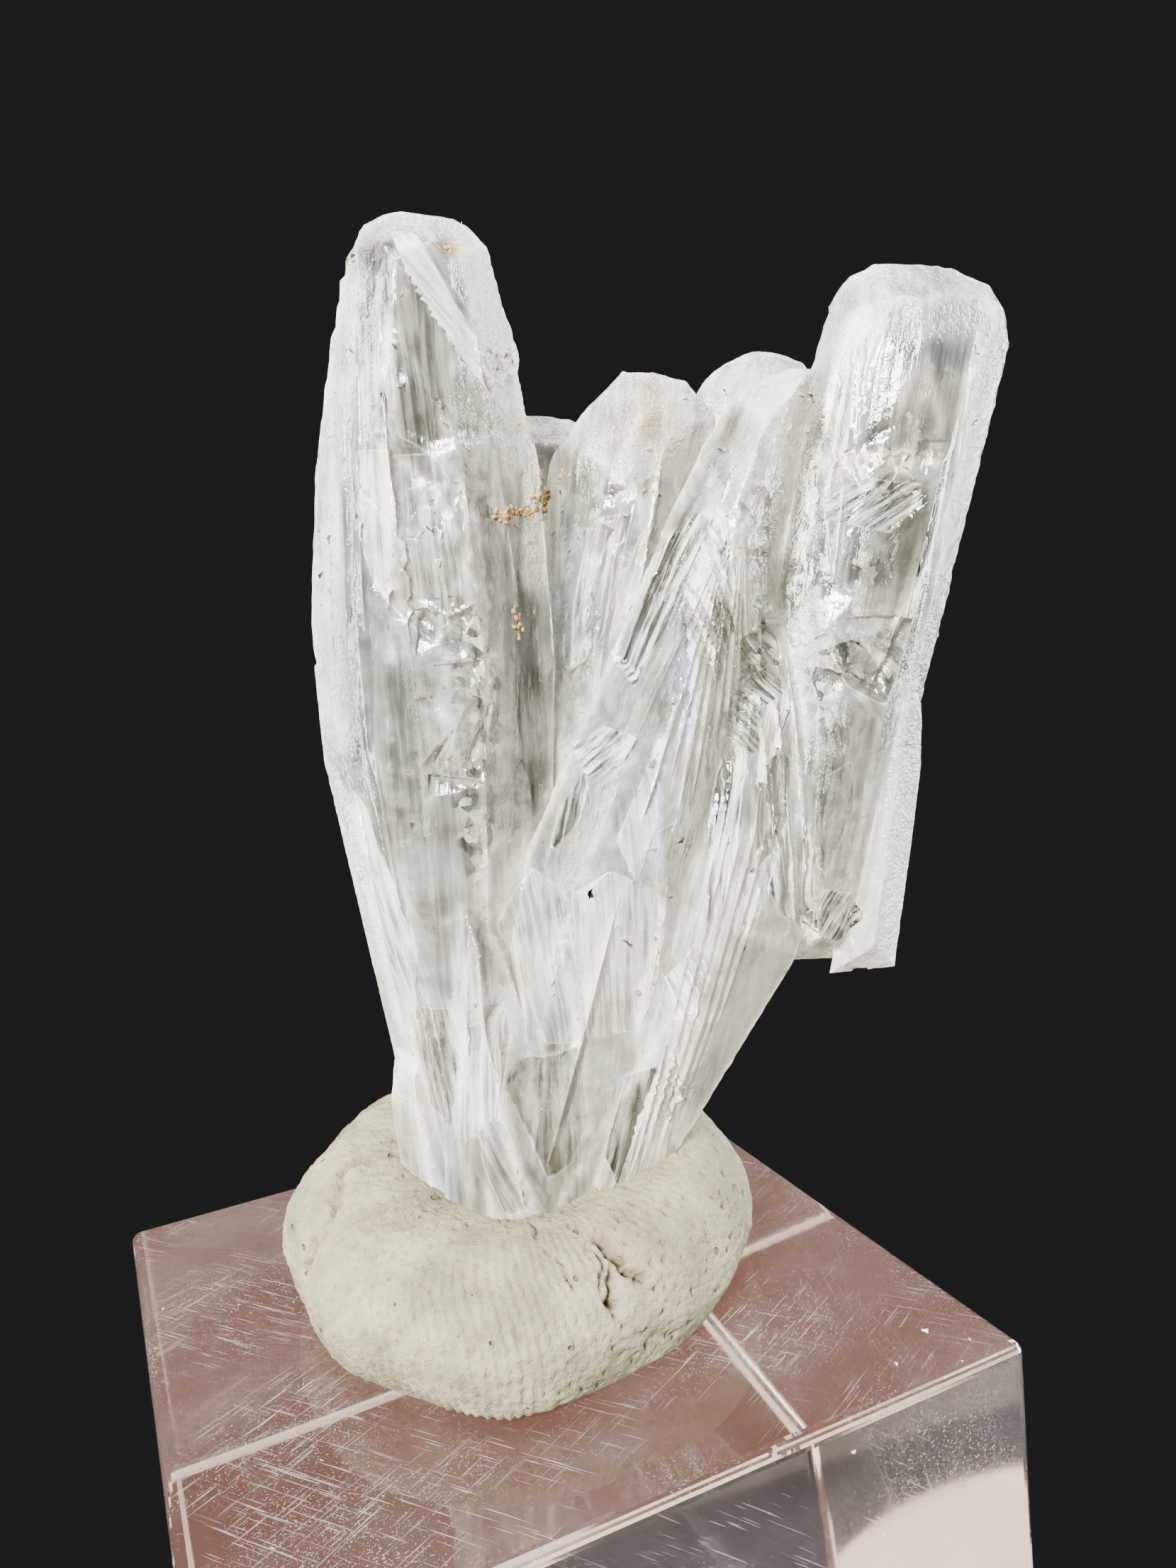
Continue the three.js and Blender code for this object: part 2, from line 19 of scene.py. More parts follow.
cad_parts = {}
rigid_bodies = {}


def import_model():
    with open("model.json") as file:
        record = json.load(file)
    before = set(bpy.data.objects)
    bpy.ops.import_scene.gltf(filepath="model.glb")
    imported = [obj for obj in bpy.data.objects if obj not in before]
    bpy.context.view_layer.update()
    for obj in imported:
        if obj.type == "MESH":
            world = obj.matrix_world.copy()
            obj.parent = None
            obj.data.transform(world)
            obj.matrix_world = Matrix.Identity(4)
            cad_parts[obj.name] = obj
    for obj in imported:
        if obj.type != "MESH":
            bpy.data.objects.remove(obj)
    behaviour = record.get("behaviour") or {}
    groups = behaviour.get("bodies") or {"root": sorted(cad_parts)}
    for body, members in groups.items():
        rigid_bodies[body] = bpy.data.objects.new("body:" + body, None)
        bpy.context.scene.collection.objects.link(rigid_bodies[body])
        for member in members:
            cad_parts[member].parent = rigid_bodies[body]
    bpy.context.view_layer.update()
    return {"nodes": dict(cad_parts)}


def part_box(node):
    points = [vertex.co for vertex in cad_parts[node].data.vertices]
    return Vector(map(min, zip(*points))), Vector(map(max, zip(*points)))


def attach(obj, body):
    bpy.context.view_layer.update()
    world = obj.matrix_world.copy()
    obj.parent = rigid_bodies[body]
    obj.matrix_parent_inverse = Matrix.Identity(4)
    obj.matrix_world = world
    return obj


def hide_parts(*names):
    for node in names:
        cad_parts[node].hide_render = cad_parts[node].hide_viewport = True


bpy.ops.object.select_all(action="SELECT")
bpy.ops.object.delete()
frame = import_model()
nodes = frame["nodes"]
print("CAD nodes:", sorted(nodes))

# %% [markdown]
# The blades stand in a fan that is turned against the cube. It is easier to think in the
# fan's own directions: u runs across it, v from its front to its back, and z is up. These
# helpers read and write a mesh in those directions, in millimetres.

# %% Places in the fan
MM = 0.001
FAN_TURN = math.radians(-23.3)
FAN_MATRIX = Matrix.Rotation(FAN_TURN, 3, "Z")
FAN = np.array(FAN_MATRIX)


def fan_rows(items, field):
    flat = np.empty(3 * len(items))
    items.foreach_get(field, flat)
    return flat.reshape(-1, 3) @ FAN


def fan_points(piece):
    """The vertices of a piece as rows of u, v, z in millimetres."""
    return fan_rows(piece.data.vertices, "co") / MM


def fan_normals(piece):
    return fan_rows(piece.data.vertex_normals, "vector")


def place_fan_points(piece, points):
    piece.data.vertices.foreach_set("co", (points @ FAN.T * MM).ravel())
    piece.data.update()


def to_row(point):
    """A place in the fan, in millimetres, as a place in the row frame, in metres."""
    return Vector(np.array(point) @ FAN.T * MM)


# %% [markdown]
# A few helpers for meshes. An operator acts on whatever is selected, so each piece is made
# the only selected one before it is worked on.

# %% Mesh helpers
JOIN_DISTANCE = 0.001 * MM


def work_on(piece):
    bpy.ops.object.select_all(action="DESELECT")
    piece.select_set(True)
    bpy.context.view_layer.objects.active = piece


def modify(piece, kind, **settings):
    """Gives a piece a modifier with these settings and applies it."""
    work_on(piece)
    modifier = piece.modifiers.new(kind.lower(), kind)
    for name, value in settings.items():
        setattr(modifier, name, value)
    bpy.ops.object.modifier_apply(modifier=modifier.name)


def copy_of(node, name):
    """A copy of a CAD node to work on, with its loose triangles joined."""
    piece = bpy.data.objects.new(name, nodes[node].data.copy())
    bpy.context.scene.collection.objects.link(piece)
    work_on(piece)
    bpy.ops.object.mode_set(mode="EDIT")
    bpy.ops.mesh.select_all(action="SELECT")
    bpy.ops.mesh.remove_doubles(threshold=JOIN_DISTANCE)
    bpy.ops.object.mode_set(mode="OBJECT")
    return piece


def piece_from(name, vertices, faces):
    mesh = bpy.data.meshes.new(name)
    mesh.from_pydata(vertices, [], faces)
    piece = bpy.data.objects.new(name, mesh)
    bpy.context.scene.collection.objects.link(piece)
    return piece


def keep_values(piece, name, values, domain="POINT"):
    """Stores one number or one vector for each vertex, or for each corner of each face,
    which a material can read."""
    values = np.asarray(values, np.float32)
    kind, field = ("FLOAT", "value") if values.ndim == 1 else ("FLOAT_VECTOR", "vector")
    attribute = piece.data.attributes.new(name, kind, domain)
    attribute.data.foreach_set(field, values.ravel())


def paint(piece, material):
    piece.data.materials.clear()
    piece.data.materials.append(material)


def paint_smooth(piece, material, sharp):
    """Paints a piece and shades it smooth, except over edges sharper than this in degrees."""
    paint(piece, material)
    work_on(piece)
    bpy.ops.object.shade_smooth_by_angle(angle=math.radians(sharp))


# %% [markdown]
# Natural surfaces are uneven in a way that has a size and a direction. Noise gives it: a
# smooth random value for each place. Stretching the places before they are looked up
# stretches the pattern, which turns blots into growth lines.

# %% Fields over a surface
rng = random.Random(7)
# A spot is full up to SPOT_REACH - SPOT_EDGE of its half size and ends at SPOT_REACH of it
SPOT_REACH = 1.25
SPOT_EDGE = 0.5


def noise_at(points, scale, seed=0.0):
    """Smooth noise from -1 to 1 at each point. scale is in turns per millimetre, one for
    all directions or one for each."""
    places = points * np.array(scale) + seed
    return np.array([noise.noise(place) for place in places.tolist()])


def smooth_step(values):
    t = np.clip(values, 0, 1)
    return t * t * (3 - 2 * t)


def spots(points, marks):
    """How far each point lies in soft leaning ellipses: u, z, half width, half height,
    lean in degrees and strength."""
    field = np.zeros(len(points))
    for u, z, wide, tall, lean, strength in marks:
        c, s = math.cos(math.radians(lean)), math.sin(math.radians(lean))
        du, dz = points[:, 0] - u, points[:, 2] - z
        out = np.hypot((du * c - dz * s) / wide, (du * s + dz * c) / tall)
        field = np.maximum(field, strength * smooth_step((SPOT_REACH - out) / SPOT_EDGE))
    return field


def distance_to_line(points, line):
    """Distance of each point from a line through several places, with as many
    coordinates as the places have."""
    nearest = np.full(len(points), np.inf)
    for start, end in zip(line, line[1:]):
        start, end = np.array(start, float), np.array(end, float)
        run = end - start
        share = np.clip((points - start) @ run / (run @ run), 0, 1)
        gap = np.linalg.norm(points - start - share[:, None] * run, axis=1)
        nearest = np.minimum(nearest, gap)
    return nearest


def strokes(points, lines):
    """How far each point lies on soft lines: half width, strength, then the places."""
    field = np.zeros(len(points))
    for width, strength, *line in lines:
        gap = distance_to_line(points, line)
        field = np.maximum(field, strength * np.exp(-((gap / width) ** 2)))
    return field


# %% [markdown]
# Materials are built from nodes. The first helper adds one node, sets it up and links it.
# The others hold what more than one material needs.

# %% Node helpers
# Most values of a noise texture lie between these
NOISE_SPAN = {"From Min": 0.35, "From Max": 0.65}


def node(tree, kind, sockets=None, **settings):
    made = tree.nodes.new(kind)
    for name, value in settings.items():
        setattr(made, name, value)
    for name, value in (sockets or {}).items():
        if isinstance(value, bpy.types.NodeSocket):
            tree.links.new(value, made.inputs[name])
        else:
            made.inputs[name].default_value = value
    return made


def linear(hex_colour):
    """An sRGB colour such as '#e8e6df' as linear red, green, blue and alpha."""
    parts = [int(hex_colour[i:i + 2], 16) / 255 for i in (1, 3, 5)]
    return [p / 12.92 if p <= 0.04045 else ((p + 0.055) / 1.055) ** 2.4 for p in parts] + [1]


def new_material(name):
    material = bpy.data.materials.new(name)
    material.use_nodes = True
    material.node_tree.nodes.clear()
    return material, material.node_tree


def shade(tree, sockets, absorbed=None):
    """Ends a material: its shader and, for a clear one, the colour and density inside."""
    shader = node(tree, "ShaderNodeBsdfPrincipled", sockets)
    ends = {"Surface": shader.outputs["BSDF"]}
    if absorbed:
        ends["Volume"] = node(tree, "ShaderNodeVolumeAbsorption", {
            "Color": linear(absorbed[0]), "Density": absorbed[1],
        }).outputs["Volume"]
    node(tree, "ShaderNodeOutputMaterial", ends)


def cell_spots(tree, place, turns, chance, reach, edge):
    """Spots in the cells of a Voronoi pattern. A cell's random colour says how large its
    spot is, up to reach, and below chance there is none."""
    spot = node(tree, "ShaderNodeMapping", {"Vector": place, "Scale": turns}).outputs["Vector"]
    cell = node(tree, "ShaderNodeTexVoronoi", {"Vector": spot, "Scale": 1.0})
    luck = node(tree, "ShaderNodeSeparateXYZ", {"Vector": cell.outputs["Color"]}).outputs[0]
    size = node(tree, "ShaderNodeMapRange", {
        "Value": luck, "From Min": chance, "From Max": 1.0, "To Min": 0.0, "To Max": reach,
    }).outputs["Result"]
    gap = node(tree, "ShaderNodeMath", {
        0: size, 1: cell.outputs["Distance"],
    }, operation="SUBTRACT").outputs[0]
    return node(tree, "ShaderNodeMapRange", {
        "Value": gap, "From Min": edge[0], "From Max": edge[1],
    }).outputs["Result"]


# %% [markdown]
# Calcite is clear, but this one has grown and broken in ways that scatter light: frost on
# its tips and rims, etched growth lines along its blades, leaf-shaped break faces and
# cracks. The material reads those from values stored on the mesh. Where it is milky it is
# white and rough, and elsewhere light passes through. Calcite bends light more than glass:
# its IOR is about 1.6.

# %% Calcite
CALCITE_IOR = 1.6
# Turns per millimetre across the growth lines, along them and into the crystal
STREAK_TURNS = (4.0, 0.24, 0.8)
# Turns per metre: clouds are 2.4 mm wide, chips 0.4 mm, and pits of the sugary grain 0.2 mm
CLOUD_TURNS = 420
CHIP_TURNS = 2400
PIT_TURNS = 4800
# How far streaks and chips move the milkiness up and down
STREAK_CONTRAST = 0.13
CHIP_CONTRAST = 0.6
GROOVE_HEIGHT = 2.4
FACET_RIM = 0.16


def make_calcite():
    material, tree = new_material("frosted_calcite")
    milk, seam, broken, inside = (
        node(tree, "ShaderNodeAttribute", attribute_name=name).outputs["Fac"]
        for name in ("milk", "seam", "broken", "inside")
    )
    grain, facet, tints = (
        node(tree, "ShaderNodeAttribute", attribute_name=name).outputs["Vector"]
        for name in ("grain", "facet", "tints")
    )
    tone, streaked, _ = node(tree, "ShaderNodeSeparateXYZ", {"Vector": facet}).outputs
    tan, blue, sugar = node(tree, "ShaderNodeSeparateXYZ", {"Vector": tints}).outputs
    place = node(tree, "ShaderNodeTexCoord").outputs["Object"]

    # Growth lines, clouds and the sugary grain are noise at three sizes
    lines = node(tree, "ShaderNodeMapping", {"Vector": grain, "Scale": STREAK_TURNS})
    streaks = node(tree, "ShaderNodeTexNoise", {
        "Vector": lines.outputs["Vector"], "Scale": 1.0, "Detail": 3, "Roughness": 0.6,
    }).outputs["Fac"]
    clouds = node(tree, "ShaderNodeTexNoise", {
        "Vector": place, "Scale": CLOUD_TURNS, "Detail": 2, "Roughness": 0.6,
    }).outputs["Fac"]
    pits = node(tree, "ShaderNodeTexNoise", {
        "Vector": place, "Scale": PIT_TURNS, "Detail": 2, "Roughness": 0.7,
    }).outputs["Fac"]

    # Small chips in the crumpled places: each cell has a random colour, which gives both
    # its tone and the way that it is tilted
    spot = node(tree, "ShaderNodeMapping", {
        "Vector": place, "Scale": (CHIP_TURNS,) * 3,
    }).outputs["Vector"]
    cell = node(tree, "ShaderNodeTexVoronoi", {"Vector": spot, "Scale": 1.0})
    from_centre = node(tree, "ShaderNodeVectorMath", {
        0: spot, 1: cell.outputs["Position"],
    }, operation="SUBTRACT").outputs[0]
    lean = node(tree, "ShaderNodeVectorMath", {
        0: cell.outputs["Color"], 1: (0.5, 0.5, 0.5),
    }, operation="SUBTRACT").outputs[0]
    chip_tilt = node(tree, "ShaderNodeVectorMath", {
        0: from_centre, 1: lean,
    }, operation="DOT_PRODUCT").outputs["Value"]
    chip_shade = node(tree, "ShaderNodeSeparateXYZ", {"Vector": lean}).outputs[0]

    in_facet = node(tree, "ShaderNodeMapRange", {
        "Value": inside, "From Min": -0.02, "From Max": 0.03,
    }).outputs["Result"]
    uneven = node(tree, "ShaderNodeMapRange", {
        "Value": clouds, **NOISE_SPAN, "To Min": -0.1, "To Max": 0.1,
    }).outputs["Result"]
    chipped = node(tree, "ShaderNodeMapRange", {
        "Value": broken, "To Max": CHIP_CONTRAST,
    }).outputs["Result"]
    chipped = node(tree, "ShaderNodeMath", {
        0: chip_shade, 1: chipped,
    }, operation="MULTIPLY").outputs[0]
    level = node(tree, "ShaderNodeMix", {
        "Factor": in_facet, 2: milk, 3: tone,
    }, data_type="FLOAT").outputs[0]
    contrast = node(tree, "ShaderNodeMix", {
        "Factor": in_facet, 2: STREAK_CONTRAST, 3: streaked,
    }, data_type="FLOAT").outputs[0]
    streak_share = node(tree, "ShaderNodeMapRange", {
        "Value": streaks, "From Min": 0.4, "From Max": 0.6, "To Min": -0.5, "To Max": 0.5,
    }).outputs["Result"]
    streak_share = node(tree, "ShaderNodeMath", {
        0: streak_share, 1: contrast,
    }, operation="MULTIPLY").outputs[0]
    rim_gap = node(tree, "ShaderNodeMath", {0: inside}, operation="ABSOLUTE").outputs[0]
    facet_rim = node(tree, "ShaderNodeMapRange", {
        "Value": rim_gap, "From Min": 0.01, "From Max": 0.06, "To Min": FACET_RIM, "To Max": 0.0,
    }).outputs["Result"]
    milkiness = level
    for share in (uneven, streak_share, chipped, facet_rim, seam):
        milkiness = node(tree, "ShaderNodeMath", {0: milkiness, 1: share}).outputs[0]

    # Clear places are painted grey: painted shade that stands for the dark room showing through
    # them
    whiteness = node(tree, "ShaderNodeMapRange", {
        "Value": milkiness, "From Min": -0.15, "From Max": 0.56,
    }).outputs["Result"]
    colour = node(tree, "ShaderNodeMix", {
        "Factor": whiteness, 6: linear("#797e76"), 7: linear("#fdfae8"),
    }, data_type="RGBA").outputs[2]
    for share, tint in ((tan, "#cfae7c"), (blue, "#d6e0f6")):
        colour = node(tree, "ShaderNodeMix", {
            "Factor": share, 6: colour, 7: linear(tint),
        }, data_type="RGBA").outputs[2]
    clearness = node(tree, "ShaderNodeMapRange", {
        "Value": milkiness, "To Min": 0.99, "To Max": 0.38,
    }).outputs["Result"]
    roughness = node(tree, "ShaderNodeMapRange", {
        "Value": milkiness, "To Min": 0.02, "To Max": 0.42,
    }).outputs["Result"]

    # Relief too fine for the mesh, in tenths of a millimetre
    grooves = node(tree, "ShaderNodeMath", {
        0: contrast, 1: GROOVE_HEIGHT,
    }, operation="MULTIPLY").outputs[0]
    height = node(tree, "ShaderNodeMath", {
        0: streaks, 1: grooves,
    }, operation="MULTIPLY").outputs[0]
    for share, strength in ((pits, sugar), (chip_tilt, broken)):
        height = node(tree, "ShaderNodeMath", {
            0: share, 1: strength, 2: height,
        }, operation="MULTIPLY_ADD").outputs[0]
    bump = node(tree, "ShaderNodeBump", {
        "Height": height, "Strength": 0.9, "Distance": 0.1 * MM,
    }).outputs["Normal"]

    shade(tree, {
        "Base Color": colour, "Transmission Weight": clearness, "Roughness": roughness,
        "Normal": bump, "IOR": CALCITE_IOR,
    }, absorbed=("#eceee9", 4))
    return material


# %% [markdown]
# The marks of the front, as they lie on it, in millimetres across and up. Frost covers tips
# and rims, windows are clear, and crumpled places have broken into small chips. Seams are
# pale lines where the crystal has cracked and healed, and cracks are thin dark ones. The
# tan stains are iron, and the blue ones are light scattered by fine cracks.

# %% Marks on the crystals
FROST_SPOTS = [
    (9.4, 70.2, 3.0, 3.2, 12, 0.75), (20.6, 73.2, 3.6, 2.0, 10, 0.6),
    (14.8, 69.6, 1.6, 2.6, 18, 0.75), (15.0, 72.4, 3.4, 1.8, 0, 0.8),
    (5.8, 70.6, 3.6, 1.4, 0, 0.8), (0.6, 77.8, 3.2, 1.1, 0, 0.8),
    (15.6, 58.0, 0.8, 3.4, 0, 0.4), (-3.6, 42.4, 0.7, 1.0, 0, 0.6),
    (0.6, 45.6, 1.3, 2.0, 0, 0.35), (7.0, 41.0, 1.1, 3.0, 24, 0.35),
]
FROST_LINES = [
    (0.9, 0.75, (-4.6, 58.0), (-4.4, 62.0), (-3.4, 69.0), (-2.0, 76.0)),
    (0.8, 0.95, (1.6, 77.8), (3.6, 76.8), (4.3, 73.0), (4.7, 68.0), (4.4, 63.5)),
    (0.9, 0.75, (17.0, 71.5), (18.4, 74.2), (21.0, 75.0), (24.0, 73.6), (24.8, 71.6)),
    (1.0, 0.7, (24.6, 71.4), (22.8, 65.0), (20.8, 57.6)),
    (0.9, 0.9, (20.0, 57.0), (19.2, 52.0), (18.1, 46.0)),
    (0.5, 0.6, (-5.2, 57.2), (-4.4, 52.3), (-3.4, 46.0), (-3.0, 38.0)),
    (0.6, 0.6, (12.8, 67.0), (14.6, 69.6), (16.2, 70.4), (15.6, 67.0), (14.8, 63.6)),
]
WINDOWS = [
    (19.0, 63.6, 2.0, 2.2, 10, 0.6), (16.0, 64.4, 0.7, 1.3, 10, 0.5),
    (15.9, 51.6, 0.8, 3.2, 2, 0.5), (16.1, 47.5, 0.8, 1.4, 5, 0.5),
    (3.8, 63.0, 0.6, 4.5, 2, 0.7), (-0.8, 38.4, 0.7, 1.4, 0, 0.5),
    (19.9, 70.6, 1.9, 1.8, 12, 0.2),
]
CRUMPLED = [
    (1.9, 59.6, 0.9, 3.2, -4, 1.0), (1.2, 54.6, 0.8, 3.0, 4, 0.9),
    (15.6, 58.6, 0.9, 3.0, 0, 0.8), (18.4, 62.4, 1.0, 0.7, 10, 0.4),
    (18.8, 66.8, 2.8, 0.35, 3, 0.7), (13.3, 64.4, 0.8, 2.0, -8, 0.8),
    (8.9, 66.6, 1.6, 0.45, -14, 0.7), (2.6, 66.6, 0.6, 1.4, -10, 0.5),
    (16.6, 62.0, 0.8, 0.8, 20, 0.4),
]
SEAMS = [
    (0.16, 0.8, (-1.1, 69.2), (0.8, 67.4), (1.4, 66.3), (1.6, 65.2)),
    (0.16, 0.8, (1.1, 68.7), (2.0, 67.3), (2.7, 65.1), (1.8, 64.2), (2.4, 63.0)),
    (0.22, 0.8, (0.4, 75.8), (-0.3, 69.6), (-1.4, 60.8)),
    (0.35, 0.8, (12.9, 69.6), (10.6, 66.3), (8.6, 62.6), (6.2, 58.2), (4.0, 54.1), (1.5, 50.0)),
    (0.22, 0.8, (16.1, 70.0), (15.4, 66.9), (14.5, 63.4)),
    (0.25, 0.8, (7.7, 67.9), (9.1, 66.3), (9.1, 64.6)),
    (0.25, 0.8, (8.9, 56.5), (8.3, 53.1), (8.4, 48.8), (7.5, 47.1), (6.8, 44.3)),
    (0.3, 0.9, (16.7, 67.1), (18.6, 66.8), (20.9, 66.5)),
    (0.25, 0.8, (23.7, 72.0), (22.6, 69.1), (21.9, 65.1), (20.6, 62.6), (19.0, 60.2)),
    (0.25, 0.8, (11.6, 48.5), (15.1, 46.0), (18.5, 45.4)),
    (0.25, 0.9, (-2.9, 45.1), (-2.8, 41.7), (-2.7, 37.8)),
    (0.2, 0.8, (-0.6, 45.7), (-1.2, 40.7)),
    (0.2, 0.8, (0.7, 42.2), (1.8, 37.2)), (0.2, 0.7, (4.2, 47.3), (4.4, 40.2)),
    (0.2, 0.8, (2.8, 37.0), (8.3, 45.0)),
    (0.16, 0.9, (3.7, 36.9), (4.7, 37.2), (6.3, 36.1)),
]
CRACKS = [
    (0.14, 1.0, (9.2, 64.6), (8.2, 62.1), (7.5, 59.9)),
    (0.14, 1.0, (10.1, 52.9), (9.1, 50.2)),
    (0.14, 0.9, (19.7, 68.2), (17.1, 66.9)),
    (0.14, 1.0, (4.6, 67.6), (4.0, 63.9), (3.5, 59.0), (2.6, 53.0)),
]
TAN_STAINS = [
    (9.9, 70.0, 0.5, 1.5, 8, 0.6), (20.6, 69.2, 0.6, 0.4, 0, 0.5), (2.6, 76.2, 0.3, 0.3, 0, 0.6),
    (18.8, 66.8, 2.4, 0.3, 3, 0.35), (8.8, 69.4, 0.3, 0.9, 20, 0.4),
]
BLUE_STAINS = [
    (9.9, 59.2, 0.6, 2.6, 0, 0.7), (7.9, 53.6, 0.9, 2.6, 8, 0.6), (-2.0, 38.8, 0.8, 1.2, 0, 0.5),
    (5.6, 63.4, 0.5, 3.0, 8, 0.3), (21.4, 71.0, 1.0, 1.2, 0, 0.3),
]
# The back has the same marks, moved by this, and starts where normals point back this much
BACK_SHIFT = np.array([0.9, 0.0, -3.4])
BACK_FACING = 0.25

# %% [markdown]
# Break faces: flat leaf-shaped facets where the crystal has split. Each has a tone, from
# 0 for clear to 1 for white, the lean of its streaks in degrees to the right of upright,
# how strong they are, and its corners.

# %% Facets
FACETS = [
    (0.2, 0, 0.25, (0.3, 76.0), (1.2, 74.6), (2.6, 72.0), (3.8, 70.4), (3.6, 69.1), (1.1, 68.5),
     (-0.1, 69.2)),
    (0.82, -38, 0.6, (0.3, 77.2), (1.4, 76.8), (3.3, 72.7), (3.9, 70.6), (2.9, 71.7),
     (1.1, 74.8)),
    (0.36, 4, 0.3, (0.0, 76.0), (0.2, 73.5), (-0.3, 69.3), (-1.3, 69.5), (-1.5, 71.5),
     (-0.8, 73.9)),
    (0.25, 0, 0.3, (-0.3, 68.5), (1.2, 68.4), (2.4, 65.8), (1.9, 64.3), (2.3, 62.9),
     (0.4, 61.2), (-1.1, 62.7)),
    (0.48, 4, 0.4, (-1.8, 68.9), (-0.4, 68.7), (-1.1, 62.7), (-1.8, 63.8), (-2.2, 66.4)),
    (0.32, 18, 0.5, (7.0, 65.6), (8.8, 65.7), (7.9, 62.9), (6.6, 60.3), (5.4, 59.5), (5.8, 62.2)),
    (0.37, 22, 0.4, (9.0, 64.8), (9.9, 65.1), (8.6, 62.5), (7.2, 60.3), (8.0, 62.9)),
    (0.1, 32, 1.2, (11.3, 65.4), (11.0, 63.7), (9.5, 61.2), (7.9, 58.7), (7.4, 59.9),
     (8.4, 61.6), (9.9, 64.5)),
    (0.7, -14, 1.0, (11.4, 65.2), (11.9, 65.6), (12.3, 63.0), (12.2, 61.2), (11.7, 62.1),
     (11.4, 63.8)),
    (0.7, -20, 1.0, (11.3, 64.2), (11.2, 61.0), (11.3, 58.6), (10.6, 60.0), (10.2, 61.9),
     (10.6, 63.0)),
    (0.1, -14, 0.5, (11.4, 63.8), (12.2, 60.8), (11.7, 59.3), (11.3, 58.5), (11.2, 61.0)),
    (0.05, 0, 0.15, (10.1, 61.9), (10.2, 60.9), (10.0, 56.8), (9.4, 58.7), (9.8, 60.5)),
    (0.87, -8, 0.3, (10.2, 61.2), (10.5, 59.9), (10.2, 57.7), (10.0, 56.8), (10.0, 59.1)),
    (0.18, -42, 1.0, (14.1, 60.7), (14.3, 60.0), (14.2, 57.8), (13.1, 57.4), (12.1, 58.3),
     (12.8, 59.4)),
    (0.01, -40, 0.6, (12.1, 58.3), (13.1, 57.4), (12.8, 55.5), (12.3, 55.7), (11.6, 56.5),
     (11.8, 57.6)),
    (0.76, 20, 1.0, (14.5, 57.9), (14.5, 57.1), (13.7, 55.6), (12.8, 54.2), (12.6, 54.2),
     (13.2, 57.4)),
    (0, -30, 0.1, (16.2, 59.5), (17.4, 59.8), (18.8, 57.7), (18.4, 56.8), (16.9, 57.8)),
    (0.14, -50, 0.3, (17.6, 59.7), (19.3, 59.2), (19.9, 58.2), (19.0, 57.8), (18.2, 58.8)),
    (0.25, 62, 0.6, (16.6, 65.7), (18.1, 66.0), (20.3, 65.6), (20.2, 64.8), (18.9, 63.8),
     (16.5, 64.6)),
    (0.41, 55, 0.9, (5.1, 56.5), (6.6, 57.3), (8.0, 56.8), (7.2, 55.7), (5.7, 55.3)),
    (0.24, 18, 0.8, (5.7, 55.5), (5.8, 54.3), (5.0, 53.3), (3.7, 52.0), (4.5, 54.1)),
    (0.6, 0, 0.4, (7.6, 54.5), (8.8, 56.9), (8.4, 53.2), (7.4, 50.9), (6.7, 52.8)),
    (0.2, 20, 0.25, (8.5, 53.0), (10.4, 53.7), (9.9, 51.9), (8.7, 49.7), (8.2, 50.9)),
    (0.47, 12, 1.0, (10.6, 53.0), (11.5, 56.1), (12.4, 55.7), (11.8, 52.6), (11.0, 49.8),
     (9.9, 48.4)),
    (0, 5, 0.3, (12.7, 54.0), (13.8, 55.8), (14.4, 54.9), (14.1, 53.0), (13.3, 51.7),
     (11.9, 50.5)),
    (0.41, 0, 1.0, (13.4, 51.6), (14.2, 53.0), (15.0, 52.0), (15.0, 47.0), (13.5, 48.5),
     (12.7, 49.9)),
    (0.25, 35, 1.0, (15.3, 49.2), (16.6, 48.8), (17.2, 47.7), (16.1, 46.5), (15.2, 46.9)),
    (0.18, 10, 0.2, (15.3, 53.9), (16.9, 54.7), (16.9, 52.6), (15.5, 49.6), (15.1, 51.2)),
    (0.55, -14, 0.5, (-5.0, 56.8), (-3.5, 54.9), (-1.8, 49.2), (-2.4, 45.3), (-4.1, 50.4),
     (-4.5, 53.3)),
    (0.42, -5, 0.25, (3.1, 51.6), (4.4, 50.7), (4.6, 47.6), (4.6, 44.4), (3.0, 44.6),
     (1.5, 49.5)),
    (0.55, 3, 0.4, (4.7, 50.7), (6.4, 51.6), (8.3, 50.4), (8.3, 48.4), (6.7, 44.5), (4.8, 44.5)),
    (0.7, 10, 0.5, (8.4, 48.5), (8.0, 46.6), (6.8, 44.1), (7.5, 47.4)),
    (0.6, -20, 0.6, (8.2, 46.6), (9.6, 48.1), (10.0, 46.6), (9.3, 45.2), (8.4, 44.8)),
    (0.6, 20, 0.6, (8.4, 44.2), (8.4, 42.0), (9.2, 41.0), (7.5, 37.8), (5.6, 37.3), (6.5, 40.9)),
    (0.08, 18, 0.4, (6.2, 42.4), (7.6, 43.1), (6.4, 40.7), (5.4, 37.7), (4.9, 39.0)),
    (0.14, 5, 0.2, (2.0, 43.8), (4.4, 44.3), (4.4, 40.8), (3.5, 38.9), (2.5, 38.3), (1.3, 43.0)),
    (0.5, 5, 0.5, (-0.4, 45.3), (1.4, 46.5), (1.7, 45.1), (0.7, 41.8), (-0.8, 40.4),
     (-1.0, 42.6)),
    (0.3, -20, 0.25, (-0.1, 41.4), (0.9, 41.6), (1.9, 37.6), (0.6, 37.3), (-0.1, 39.7)),
    (0.15, -5, 0.3, (-2.4, 46.3), (-0.8, 46.2), (-0.6, 44.9), (-1.4, 40.9), (-2.4, 41.5)),
]


